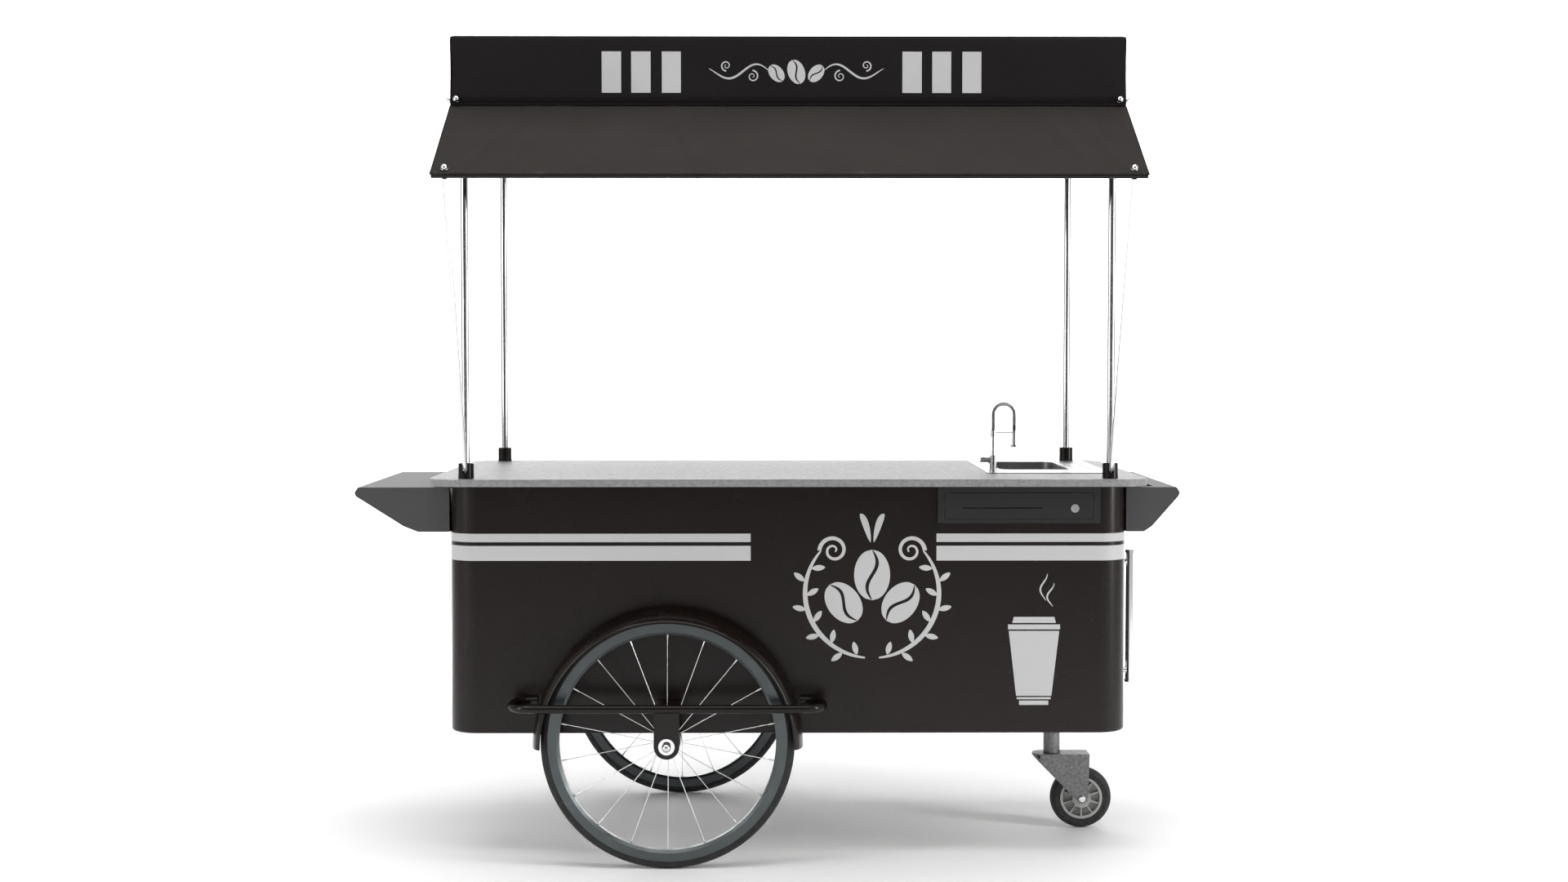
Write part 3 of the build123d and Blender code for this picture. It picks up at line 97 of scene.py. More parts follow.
# ---- materials
def stoveEnamel(name, colour, roughness, peel):
    # stove-enamelled sheet steel: deep colour, soft wide highlights, faint orange peel
    material, tree, shader = startMaterial(name, colour, Roughness=roughness, IOR=1.5,
                                           Specular_IOR_Level=0.3)
    point = objectPoint(tree)
    film = addNode(tree, "ShaderNodeTexNoise", inputs={"Vector": point, "Scale": 9.0, "Detail": 3.0})
    tree.links.new(remap(tree, film.outputs["Fac"], roughness * 0.8, roughness * 1.25), shader.inputs["Roughness"])
    skin = addNode(tree, "ShaderNodeTexNoise", inputs={"Vector": point, "Scale": 1 / (4 * mm), "Detail": 1.0})
    bump(tree, shader, skin.outputs["Fac"], 0.25, peel)
    return material


def powderCoat(name, colour, grain):
    # powder-coated steel: matt, with a fine even pebble of cured powder
    material, tree, shader = startMaterial(name, colour, Roughness=0.55, IOR=1.45)
    point = objectPoint(tree)
    pebble = addNode(tree, "ShaderNodeTexNoise", inputs={"Vector": point, "Scale": 1 / grain, "Detail": 2.0})
    tree.links.new(remap(tree, pebble.outputs["Fac"], 0.45, 0.68), shader.inputs["Roughness"])
    bump(tree, shader, pebble.outputs["Fac"], 0.5, 0.15 * mm)
    return material


def brushedSteel(name, dark, light, roughness, along):
    # stainless sheet with the mill's long brush lines and a little cloudiness from wiping
    material, tree, shader = startMaterial(name, light, Metallic=1.0, Roughness=roughness)
    stretch = [1 / (1.2 * mm)] * 3
    stretch[along] = 6.0
    lines = addNode(tree, "ShaderNodeTexNoise", inputs={
        "Vector": objectPoint(tree, stretch), "Scale": 1.0, "Detail": 2.0})
    clouds = addNode(tree, "ShaderNodeTexNoise", inputs={
        "Vector": objectPoint(tree), "Scale": 14.0, "Detail": 6.0, "Roughness": 0.65})
    both = addNode(tree, "ShaderNodeMath", {"operation": "MULTIPLY_ADD"}, {
        0: lines.outputs["Fac"], 1: 0.45, 2: remap(tree, clouds.outputs["Fac"], 0.0, 0.6)})
    ramp = mixColours(tree, both.outputs["Value"], dark, light)
    ramp.color_ramp.elements[0].position = 0.3
    ramp.color_ramp.elements[1].position = 0.75
    tree.links.new(ramp.outputs["Color"], shader.inputs["Base Color"])
    tree.links.new(remap(tree, both.outputs["Value"], roughness * 1.3, roughness * 0.8), shader.inputs["Roughness"])
    bump(tree, shader, lines.outputs["Fac"], 0.12, 0.1 * mm)
    return material


def galvanisedSteel(name, dark, light, spangle, shine):
    # hot-dip galvanised steel: zinc spangle in patches of light and dark grey
    material, tree, shader = startMaterial(name, light, Metallic=shine, Roughness=0.45, Specular_IOR_Level=0.2)
    point = objectPoint(tree)
    patches = addNode(tree, "ShaderNodeTexVoronoi", {"feature": "F1"}, {"Vector": point, "Scale": 1 / spangle})
    dust = addNode(tree, "ShaderNodeTexNoise", inputs={"Vector": point, "Scale": 160.0, "Detail": 4.0})
    grey = addNode(tree, "ShaderNodeMath", {"operation": "MULTIPLY_ADD"}, {
        0: dust.outputs["Fac"], 1: 0.6, 2: remap(tree, patches.outputs["Color"], 0.0, 0.4)})
    ramp = mixColours(tree, grey.outputs["Value"], dark, light)
    tree.links.new(ramp.outputs["Color"], shader.inputs["Base Color"])
    tree.links.new(remap(tree, grey.outputs["Value"], 0.58, 0.36), shader.inputs["Roughness"])
    bump(tree, shader, dust.outputs["Fac"], 0.3, 0.15 * mm)
    return material


def polishedChrome(name, colour, roughness):
    # bright chrome plate: mirror-like, with faint wiping haze
    material, tree, shader = startMaterial(name, colour, Metallic=1.0, Roughness=roughness)
    haze = addNode(tree, "ShaderNodeTexNoise", inputs={"Vector": objectPoint(tree), "Scale": 30.0, "Detail": 3.0})
    tree.links.new(remap(tree, haze.outputs["Fac"], roughness * 0.6, roughness * 1.6), shader.inputs["Roughness"])
    return material


def vulcanisedRubber(name, colour, worn):
    # vulcanised rubber: dull black, greyer where it is scuffed
    material, tree, shader = startMaterial(name, colour, Roughness=0.7, IOR=1.5)
    point = objectPoint(tree)
    scuff = addNode(tree, "ShaderNodeTexNoise", inputs={
        "Vector": point, "Scale": 40.0, "Detail": 6.0, "Roughness": 0.7})
    ramp = mixColours(tree, scuff.outputs["Fac"], colour, worn)
    ramp.color_ramp.elements[0].position = 0.45
    ramp.color_ramp.elements[1].position = 0.8
    tree.links.new(ramp.outputs["Color"], shader.inputs["Base Color"])
    grain = addNode(tree, "ShaderNodeTexNoise", inputs={"Vector": point, "Scale": 1 / (1.5 * mm), "Detail": 2.0})
    bump(tree, shader, grain.outputs["Fac"], 0.35, 0.2 * mm)
    return material


def mouldedPlastic(name, colour, roughness, **sockets):
    # injection-moulded plastic: even colour, fine matt tooling grain
    material, tree, shader = startMaterial(name, colour, Roughness=roughness, IOR=1.48, **sockets)
    grain = addNode(tree, "ShaderNodeTexNoise", inputs={"Vector": objectPoint(tree), "Scale": 1 / (1.2 * mm)})
    tree.links.new(remap(tree, grain.outputs["Fac"], roughness * 0.85, roughness * 1.15), shader.inputs["Roughness"])
    bump(tree, shader, grain.outputs["Fac"], 0.2, 0.08 * mm)
    return material


def wovenCanvas(name, colour, thread, lift):
    # polyester awning canvas in plain weave: over-and-under threads, raised threads and slubs painted lighter as a
    # painted sheen, and a slow random colour drift
    # the real thread is about 0.6 mm; it is drawn wider so that it shows
    material, tree, shader = startMaterial(name, colour, Roughness=0.9, IOR=1.4, Specular_IOR_Level=0.18)
    point = objectPoint(tree)
    axes = addNode(tree, "ShaderNodeSeparateXYZ", inputs={"Vector": point})
    turns = 2 * math.pi / thread
    down = addNode(tree, "ShaderNodeMath", {"operation": "SUBTRACT"}, {
        0: axes.outputs["Z"], 1: axes.outputs["Y"]})
    waves = []
    for value in (axes.outputs["X"], down.outputs["Value"]):
        angle = addNode(tree, "ShaderNodeMath", {"operation": "MULTIPLY"}, {0: value, 1: turns})
        waves.append(addNode(tree, "ShaderNodeMath", {"operation": "SINE"}, {0: angle.outputs["Value"]}))
    weave = addNode(tree, "ShaderNodeMath", {"operation": "MULTIPLY"}, {
        0: waves[0].outputs["Value"], 1: waves[1].outputs["Value"]})
    slub = addNode(tree, "ShaderNodeTexNoise", inputs={"Vector": point, "Scale": 260.0, "Detail": 3.0})
    drift = addNode(tree, "ShaderNodeTexNoise", inputs={"Vector": point, "Scale": 5.0, "Detail": 2.0})
    height = addNode(tree, "ShaderNodeMath", {"operation": "MULTIPLY_ADD"}, {
        0: slub.outputs["Fac"], 1: 1.2, 2: weave.outputs["Value"]})
    # the weave height paints the raised threads lighter, a painted sheen; the drift adds random tone
    tone = addNode(tree, "ShaderNodeMath", {"operation": "MULTIPLY_ADD"}, {
        0: height.outputs["Value"], 1: 0.26, 2: remap(tree, drift.outputs["Fac"], 0.15, 0.6)})
    ramp = mixColours(tree, tone.outputs["Value"], colour, lift)
    tree.links.new(ramp.outputs["Color"], shader.inputs["Base Color"])
    bump(tree, shader, height.outputs["Value"], 0.6, 0.35 * mm)
    return material


def cutVinyl(name, colour):
    # self-adhesive vinyl film: flat light grey, semi-matt, very slightly rippled
    material, tree, shader = startMaterial(name, colour, Roughness=0.42, IOR=1.45)
    ripple = addNode(tree, "ShaderNodeTexNoise", inputs={"Vector": objectPoint(tree), "Scale": 60.0, "Detail": 2.0})
    tree.links.new(remap(tree, ripple.outputs["Fac"], 0.36, 0.5), shader.inputs["Roughness"])
    bump(tree, shader, ripple.outputs["Fac"], 0.1, 0.1 * mm)
    return material


def birchPly(name, dark, light):
    # film-faced birch plywood: dark phenolic film over a long grain
    material, tree, shader = startMaterial(name, light, Roughness=0.5, IOR=1.45)
    grain = addNode(tree, "ShaderNodeTexNoise", inputs={
        "Vector": objectPoint(tree, (4, 90, 90)), "Scale": 1.0, "Detail": 5.0, "Distortion": 0.4})
    ramp = mixColours(tree, grain.outputs["Fac"], dark, light)
    tree.links.new(ramp.outputs["Color"], shader.inputs["Base Color"])
    bump(tree, shader, grain.outputs["Fac"], 0.15, 0.15 * mm)
    return material


finishes = {
    "cabinetEnamel": stoveEnamel("brown_black_stove_enamel", "#17100d", 0.26, 0.05 * mm),
    "tubeEnamel": stoveEnamel("brown_black_tube_enamel", "#140d0b", 0.18, 0.03 * mm),
    "podPowder": powderCoat("charcoal_powder_coat", "#424243", 1.6 * mm),
    "drawerPowder": powderCoat("black_powder_coat", "#1b1b1c", 1.3 * mm),
    "counterSteel": galvanisedSteel("galvanised_counter_sheet", "#757575", "#a2a2a2", 9 * mm, 0.1),
    "sinkSteel": brushedSteel("brushed_sink_steel", "#7a7a7a", "#b4b4b4", 0.32, 1),
    "spokeSteel": polishedChrome("drawn_spoke_steel", "#f0f0f0", 0.16),
    "zinc": galvanisedSteel("galvanised_steel", "#5a5a5a", "#9c9c9c", 6 * mm, 0.85),
    "chrome": polishedChrome("chrome_plate", "#e4e4e4", 0.07),
    "rimAlloy": polishedChrome("grey_anodised_rim", "#5c6162", 0.3),
    "tyreRubber": vulcanisedRubber("tyre_rubber", "#141515", "#2b2c2c"),
    "casterRubber": vulcanisedRubber("caster_rubber", "#1d1d1d", "#3a3a3a"),
    "casterNylon": mouldedPlastic("grey_nylon", "#a9a9a6", 0.45),
    "blackPlastic": mouldedPlastic("black_polypropylene", "#1c1c1c", 0.5),
    "tankPlastic": mouldedPlastic("natural_polyethylene", "#d9dcdc", 0.5, Transmission_Weight=0.15),
    "pumpPaint": powderCoat("pump_grey_paint", "#4a4d50", 2 * mm),
    "brass": polishedChrome("turned_brass", "#b48a45", 0.25),
    "canvas": wovenCanvas("black_awning_canvas", "#161415", 3.0 * mm, "#221f1f"),
    # the flap is the same black canvas as the cover, painted lighter: painted light, because the flap faces up to the
    # lamps
    "litFlapCanvas": wovenCanvas("black_awning_canvas_painted_lit", "#1b1817", 3.0 * mm, "#302c2a"),
    "whiteInk": wovenCanvas("white_printed_canvas", "#b4b4b4", 3.0 * mm, "#cfcfcf"),
    "vinyl": cutVinyl("light_grey_vinyl", "#c2c2c2"),
    "ply": birchPly("film_faced_ply", "#2c2421", "#3d332e"),
    "thread": vulcanisedRubber("waxed_thread", "#201e1e", "#353232"),
}
finishOfNodes = {
    "cabinetEnamel": ["cabinet_shell", "left_door", "right_door", "wheel_fenders"],
    "tubeEnamel": ["pole_sockets", "canopy_frame", "front_wheel_guard", "rear_wheel_guard", "axle_hangers"],
    "podPowder": ["side_shelf", "side_bin"],
    "drawerPowder": ["drawer_case", "cash_drawer"],
    "counterSteel": ["counter_top"],
    "sinkSteel": ["sink_basin", "drawer_runners"],
    "spokeSteel": ["front_spokes", "rear_spokes", "stub_axles", "wheel_bearings", "door_pivot_pins"],
    "zinc": ["caster_fork", "caster_stem", "caster_bearing"],
    "chrome": ["poles", "struts", "faucet_body", "faucet_lever", "faucet_column", "spray_head", "sink_strainer",
               "canopy_bolts", "axle_cap_nuts", "front_hub", "rear_hub", "drawer_lock", "left_door_pull",
               "right_door_pull", "push_handle", "caster_axle", "faucet_spring"],
    "rimAlloy": ["front_rim", "rear_rim"],
    "tyreRubber": ["front_tyre", "rear_tyre"],
    "casterRubber": ["caster_tyre"],
    "casterNylon": ["caster_hub"],
    "blackPlastic": ["fresh_tank_cap", "drain_pipe", "spray_hose", "supply_hoses"],
    "tankPlastic": ["fresh_water_tank", "waste_water_tank"],
    "pumpPaint": ["water_pump"],
    "brass": ["faucet_nut"],
    "ply": ["cabinet_floor", "cabinet_divider", "middle_shelf"],
    "canvas": ["canopy_cover", "canopy_flap"],
}
for finish, names in finishOfNodes.items():
    for name in names:
        node = nodes[name]
        if not node.material_slots:
            node.data.materials.append(None)
        for holder in node.material_slots:
            holder.material = finishes[finish]
print("materials: ready on", len(nodes), "nodes")


# ---- helpers for new pieces
def makePiece(name, vertices, faces, finish, body, smooth=True):
    mesh = bpy.data.meshes.new(name)
    mesh.from_pydata([tuple(vertex) for vertex in vertices], [], faces)
    mesh.validate()
    piece = bpy.data.objects.new(name, mesh)
    bpy.context.scene.collection.objects.link(piece)
    finishPiece(piece, finish, body, smooth)
    return piece


def finishPiece(piece, finish, body, smooth=True):
    piece.data.materials.clear()
    piece.data.materials.append(finishes[finish])
    for face in piece.data.polygons:
        face.use_smooth = smooth
    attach(piece, body)


def thicken(piece, thickness, offset):
    wall = piece.modifiers.new("thickness", "SOLIDIFY")
    wall.thickness = thickness
    wall.offset = offset


def plainMesh(piece, name):
    # the evaluated piece as a plain mesh object
    depsgraph = bpy.context.evaluated_depsgraph_get()
    mesh = bpy.data.meshes.new_from_object(piece.evaluated_get(depsgraph), depsgraph=depsgraph)
    bpy.data.objects.remove(piece)
    plain = bpy.data.objects.new(name, mesh)
    bpy.context.scene.collection.objects.link(plain)
    return plain


# ---- canopy
canopyCloth = {
    "foldRadius": 11 * mm,       # corners and top edges
    "mesh": 17 * mm,             # spacing of the grid lines
    "thickness": 1.2 * mm,
    "topSag": 9 * mm,            # dip of the top between the rails
    "wallHollow": 2.2 * mm,      # wall drawn in between the frame's rails
    "pucker": 2.2 * mm,          # height of the small folds in the walls
    "rail": 22 * mm,             # band that lies on a rail
}
coverLow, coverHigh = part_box("canopy_cover")
flapLow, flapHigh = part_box("canopy_flap")


def smoothStep(value, start, end):
    share = min(max((value - start) / (end - start), 0.0), 1.0)
    return share * share * (3 - 2 * share)


def ripple(x, z, scale, seed):
    return noise.noise(Vector((x * scale, z * scale, seed)))


def wallRelief(along, height):
    # how far a canopy wall stands out (+) or in (-) from its plane
    cloth = canopyCloth
    middle = (height - coverLow.z) / (coverHigh.z - coverLow.z)
    hollow = math.sin(math.pi * min(max(middle, 0), 1)) ** 2
    folds = ripple(along + 0.35 * height, height * 0.35, 9.0, 3.1)
    broad = ripple(along, height, 3.2, 7.7)
    return hollow * (-cloth["wallHollow"] * (0.6 + 0.8 * broad) + cloth["pucker"] * folds)


foldShares = (0.0, 0.12, 0.28, 0.5, 0.75, 1.0)


def edgeLines(low, high, radius, step):
    # grid lines that bunch up at the folds
    near = [radius * share for share in foldShares]
    count = max(int((high - low - 2 * radius) / step), 2)
    inner = [low + radius + (high - low - 2 * radius) * index / count for index in range(1, count)]
    return [low + value for value in near] + inner + [high - value for value in reversed(near)]


def makeCover():
    cloth = canopyCloth
    radius = cloth["foldRadius"]
    low, high = coverLow.copy(), coverHigh.copy()
    xs = edgeLines(low.x, high.x, radius, cloth["mesh"])
    ys = edgeLines(low.y, high.y, radius, cloth["mesh"])
    # the walls bunch up only at the top fold; their lower edge is plain
    wallHeight = high.z - low.z
    levels = edgeLines(low.z, high.z + wallHeight, radius, cloth["mesh"])
    zs = sorted({round(value, 6) for value in levels if radius < value - low.z < high.z - low.z - radius} | {low.z}
                | {high.z - radius * share for share in foldShares})
    work = bmesh.new()

    def grid(first, second, spot):
        rows = [[work.verts.new(spot(a, b)) for b in second] for a in first]
        for i in range(len(first) - 1):
            for j in range(len(second) - 1):
                work.faces.new((rows[i][j], rows[i + 1][j], rows[i + 1][j + 1], rows[i][j + 1]))
    grid(xs, ys, lambda a, b: (a, b, high.z))
    grid(xs, zs, lambda a, b: (a, low.y, b))
    grid(xs, zs, lambda a, b: (a, high.y, b))
    grid(ys, zs, lambda a, b: (low.x, a, b))
    grid(ys, zs, lambda a, b: (high.x, a, b))
    bmesh.ops.remove_doubles(work, verts=work.verts, dist=1e-5)
    bmesh.ops.recalc_face_normals(work, faces=work.faces)
    if sum(face.normal.z for face in work.faces if face.calc_center_median().z > high.z - 1e-4) < 0:
        bmesh.ops.reverse_faces(work, faces=work.faces)
    core = (low.x + radius, high.x - radius, low.y + radius, high.y - radius, high.z - radius)
    span = Vector((high.x - low.x, high.y - low.y))
    for vertex in work.verts:
        spot = vertex.co.copy()
        inside = Vector((min(max(spot.x, core[0]), core[1]), min(max(spot.y, core[2]), core[3]),
                         min(spot.z, core[4])))
        out = spot - inside
        if out.length > 1e-7:
            spot = inside + out.normalized() * radius
            out.normalize()
        if abs(out.z) < 0.5:
            along = spot.x if abs(out.y) > abs(out.x) else spot.y
            spot += Vector((out.x, out.y, 0)) * wallRelief(along, spot.z)
        else:
            across = (1 - smoothStep(abs(spot.x - (low.x + high.x) / 2), 0.0, span.x / 2 - cloth["rail"])) * \
                     (1 - smoothStep(abs(spot.y - (low.y + high.y) / 2), 0.0, span.y / 2 - cloth["rail"]))
            spot.z -= cloth["topSag"] * across * (1 + 0.25 * ripple(spot.x, spot.y, 3.0, 1.7))
        vertex.co = spot
    mesh = bpy.data.meshes.new("canopy_cloth")
    work.to_mesh(mesh)
    work.free()
    cover = bpy.data.objects.new("canopy_cloth", mesh)
    bpy.context.scene.collection.objects.link(cover)
    finishPiece(cover, "canvas", "cart")
    thicken(cover, cloth["thickness"], -1.0)
    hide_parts("canopy_cover")


makeCover()

flapCloth = {
    "thickness": 1.2 * mm,
    "sag": 5 * mm,
    "fold": 5.5 * mm,            # height of the diagonal folds
    "columns": 240,
    "rows": 36,
    "hem": 24 * mm,
}
flapTop = Vector((0, flapHigh.y, flapHigh.z))
flapFoot = Vector((0, flapLow.y, flapLow.z))
flapDown = (flapFoot - flapTop).normalized()
flapOut = Vector((0, flapDown.z, -flapDown.y))
# folds as (share along the top, share along the foot, width, depth)
flapFolds = [(0.125, 0.035, 0.011, 1.0), (0.165, 0.09, 0.013, 1.0), (0.205, 0.15, 0.012, -0.7),
             (0.33, 0.375, 0.010, 0.8), (0.42, 0.41, 0.016, -0.5), (0.53, 0.545, 0.014, 0.5), (0.62, 0.60, 0.016, -0.6),
             (0.73, 0.745, 0.013, 0.6), (0.87, 0.93, 0.012, 0.8), (0.91, 0.975, 0.011, 0.7)]


def flapRelief(share, down):
    cloth = flapCloth
    hang = math.sin(math.pi * min(max(down, 0), 1)) * math.sin(math.pi * min(max(share, 0), 1)) ** 0.5
    height = -cloth["sag"] * hang * (0.8 + 0.4 * ripple(share, down, 4.0, 5.5))
    for top, foot, width, depth in flapFolds:
        middle = top + (foot - top) * down
        height += cloth["fold"] * depth * math.exp(-((share - middle) / width) ** 2) * math.sin(
            math.pi * min(max(down * 0.9 + 0.05, 0), 1))
    return height + 0.6 * mm * hang * ripple(share * 14, down * 4, 1.0, 2.2)


def makeFlap():
    cloth = flapCloth
    length = (flapFoot - flapTop).length
    vertices, faces = [], []
    for row in range(cloth["rows"] + 1):
        down = row / cloth["rows"]
        for column in range(cloth["columns"] + 1):
            share = column / cloth["columns"]
            spot = Vector((flapLow.x + (flapHigh.x - flapLow.x) * share, 0, 0)) + \
                Vector((0, flapTop.y, flapTop.z)) + flapDown * length * down
            vertices.append(spot + flapOut * flapRelief(share, down))
    width = cloth["columns"] + 1
    for row in range(cloth["rows"]):
        for column in range(cloth["columns"]):
            corner = row * width + column
            faces.append((corner, corner + width, corner + width + 1, corner + 1))
    # the flap gets the lighter canvas, painted light for a cloth turned up towards the lamps
    flap = makePiece("canopy_flap_cloth", vertices, faces, "litFlapCanvas", "cart")
    thicken(flap, cloth["thickness"], -1.0)
    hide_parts("canopy_flap")


makeFlap()
print("canopy: cover and flap sewn")


# ---- graphics: every shape is a strip of (x, z) pairs, left edge and right edge
def ribbon(path, width, count=40):
    pairs = []
    for index in range(count + 1):
        share = index / count
        here = Vector(path(share))
        ahead = Vector(path(min(share + 0.001, 1.0))) - Vector(path(max(share - 0.001, 0.0)))
        side = Vector((-ahead.y, ahead.x)).normalized() * width(share) / 2
        pairs.append((here + side, here - side))
    return pairs


def taper(wide, thin=0.15):
    return lambda share: wide * (thin + (1 - thin) * math.sin(math.pi * min(max(share, 0), 1)) ** 0.7)


def volute(centre, radius, start, turns, wide, shrink=0.12):
    # a scroll that winds in from start (degrees); negative turns wind clockwise
    def path(share):
        angle = math.radians(start) + 2 * math.pi * turns * share
        reach = radius * (1 - (1 - shrink) * share)
        return centre[0] + reach * math.cos(angle), centre[1] + reach * math.sin(angle)
    return ribbon(path, lambda share: wide * (1 - 0.65 * share), 56)


def coffeeBean(centre, length, width, turn):
    strips = []
    tilt = Matrix.Rotation(math.radians(turn), 2)
    for side in (-1, 1):
        pairs = []
        for index in range(33):
            t = -1 + 2 * index / 32
            edge = side * width / 2 * math.sqrt(max(1 - t * t, 0))
            seam = 0.14 * width * math.sin(math.pi * t) + side * 0.055 * width * math.sqrt(max(1 - t * t, 0))
            outer, inner = Vector((edge, t * length / 2)), Vector((seam, t * length / 2))
            if side * (edge - seam) < 0:
                inner = outer.copy()
            pair = (Vector(centre) + tilt @ outer, Vector(centre) + tilt @ inner)
            pairs.append(pair)
        strips.append(pairs)
    return strips


def bar(left, right, low, high, columns=1):
    xs = [left + (right - left) * index / columns for index in range(columns + 1)]
    return [(Vector((x, high)), Vector((x, low))) for x in xs]


def stripsToPiece(name, layers, spot, finish, thickness=0.3 * mm):
    # each layer lies 0.08 mm above the one before, so that crossing strips never share a face
    vertices, faces = [], []
    for level, pairs in [(level, pairs) for level, strips in enumerate(layers) for pairs in strips]:
        start = len(vertices)
        lift = Vector((0, -0.08 * mm * level, 0))
        for first, second in pairs:
            vertices += [spot(*first) + lift, spot(*second) + lift]
        for index in range(len(pairs) - 1):
            corner = start + 2 * index
            faces.append((corner, corner + 1, corner + 3, corner + 2))
    piece = makePiece(name, vertices, faces, finish, "cart", smooth=False)
    work = bmesh.new()
    work.from_mesh(piece.data)
    bmesh.ops.remove_doubles(work, verts=work.verts, dist=1e-6)
    for face in work.faces:
        if face.normal.dot(spot.outward(face.calc_center_median())) < 0:
            face.normal_flip()
    work.to_mesh(piece.data)
    work.free()
    thicken(piece, thickness, 0.0)
    return piece


class FlatFront:
    # puts (x, z) on the cabinet's front sheet
    def __init__(self, y):
        self.y = y

    def __call__(self, x, z):
        return Vector((x, self.y, z))

    def outward(self, spot):
        return Vector((0, -1, 0))


class ClothFront(FlatFront):
    # puts (x, z) on the canopy's front wall, with its hollows
    def __call__(self, x, z):
        return Vector((x, self.y - wallRelief(x, z), z))


cabinetLow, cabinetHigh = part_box("cabinet_shell")
cartMiddle = (cabinetLow.x + cabinetHigh.x) / 2
stripes = {
    "thinBottom": 843 * mm, "thinTop": 865 * mm,
    "thickBottom": 794 * mm, "thickTop": 833 * mm,
    "gapLeft": -99 * mm, "gapRight": 389 * mm,        # from the middle of the cabinet
    "corner": 76 * mm, "stand": 0.25 * mm, "film": 0.3 * mm,   # plan corner, gap to the paint, thickness
}


def wallPath(end):
    # from the gap along the front, round the corner and along the end wall; end is -1 left, 1 right
    stand, corner = stripes["stand"], stripes["corner"]
    front, back = cabinetLow.y - stand, cabinetHigh.y + stand
    side = cabinetLow.x - stand if end < 0 else cabinetHigh.x + stand
    start = cartMiddle + (stripes["gapLeft"] if end < 0 else stripes["gapRight"])
    reach = corner + stand
    points = [Vector((start + (side - end * reach - start) * share / 6, front)) for share in range(7)]
    for index in range(1, 17):
        angle = math.pi / 2 * index / 16
        points.append(Vector((side - end * reach + end * reach * math.sin(angle),
                              front + reach - reach * math.cos(angle))))
    points += [Vector((side, front + reach + (back - front - 2 * reach) * share / 6)) for share in range(1, 7)]
    return points


def makeStripes():
    vertices, faces = [], []
    for low, high in ((stripes["thinBottom"], stripes["thinTop"]), (stripes["thickBottom"], stripes["thickTop"])):
        for end in (-1, 1):
            start = len(vertices)
            points = wallPath(end)
            for point in points:
                vertices += [Vector((point.x, point.y, low)), Vector((point.x, point.y, high))]
            for index in range(len(points) - 1):
                corner = start + 2 * index
                quad = (corner, corner + 2, corner + 3, corner + 1)
                faces.append(quad if end > 0 else quad[::-1])
    piece = makePiece("cabinet_stripes", vertices, faces, "vinyl", "cart", smooth=False)
    thicken(piece, stripes["film"], 0.0)
    return piece


makeStripes()

cup = {
    "left": 578 * mm, "right": 715 * mm,               # widest, from the middle of the cabinet
    "rimBottom": 612 * mm, "rimTop": 625 * mm,
    "lidBottom": 629 * mm, "lidTop": 645 * mm, "lidInset": 11 * mm,
    "bodyTop": 608 * mm, "bodyBottom": 436 * mm, "bodyInset": 22 * mm,
    "bandBottom": 427 * mm, "bandTop": 432.5 * mm, "bandInset": 26 * mm,
    "baseBottom": 412 * mm, "baseTop": 423.5 * mm, "baseInset": 30 * mm,
    "steamBottom": 672 * mm, "steamTop": 759 * mm,
}


def cupStrips():
    left, right = cartMiddle + cup["left"], cartMiddle + cup["right"]
    strips = [bar(left, right, cup["rimBottom"], cup["rimTop"])]
    inset = cup["lidInset"]
    strips.append([(Vector((left + inset + 4 * mm, cup["lidTop"])), Vector((left + inset, cup["lidBottom"]))),
                   (Vector((right - inset - 4 * mm, cup["lidTop"])), Vector((right - inset, cup["lidBottom"])))])
    inset = cup["bodyInset"]
    edge = 2 * mm
    strips.append([(Vector((left + edge, cup["bodyTop"])), Vector((left + inset, cup["bodyBottom"]))),
                   (Vector((right - edge, cup["bodyTop"])), Vector((right - inset, cup["bodyBottom"])))])
    strips.append(bar(left + cup["bandInset"] - 2 * mm, right - cup["bandInset"] + 2 * mm,
                      cup["bandBottom"], cup["bandTop"]))
    strips.append(bar(left + cup["baseInset"], right - cup["baseInset"], cup["baseBottom"], cup["baseTop"]))
    rise = cup["steamTop"] - cup["steamBottom"]
    middle = (left + right) / 2 + 34 * mm
    for shift, lift, size in ((-9 * mm, 0.18, 0.82), (9 * mm, 0.0, 0.72)):
        def path(share, shift=shift, lift=lift, size=size):
            return (middle + shift + 9 * mm * math.sin(2 * math.pi * share * 0.9 + 2.4),
                    cup["steamBottom"] + rise * (lift + size * share))
        strips.append(ribbon(path, taper(4.5 * mm), 30))
    return strips


# a leafy wreath round three beans, within the panel's clear area
badge = {
    "x": 220 * mm, "z": 713 * mm,          # centre, from the middle of the cabinet and from the floor
    "width": 440 * mm, "height": 430 * mm,
}


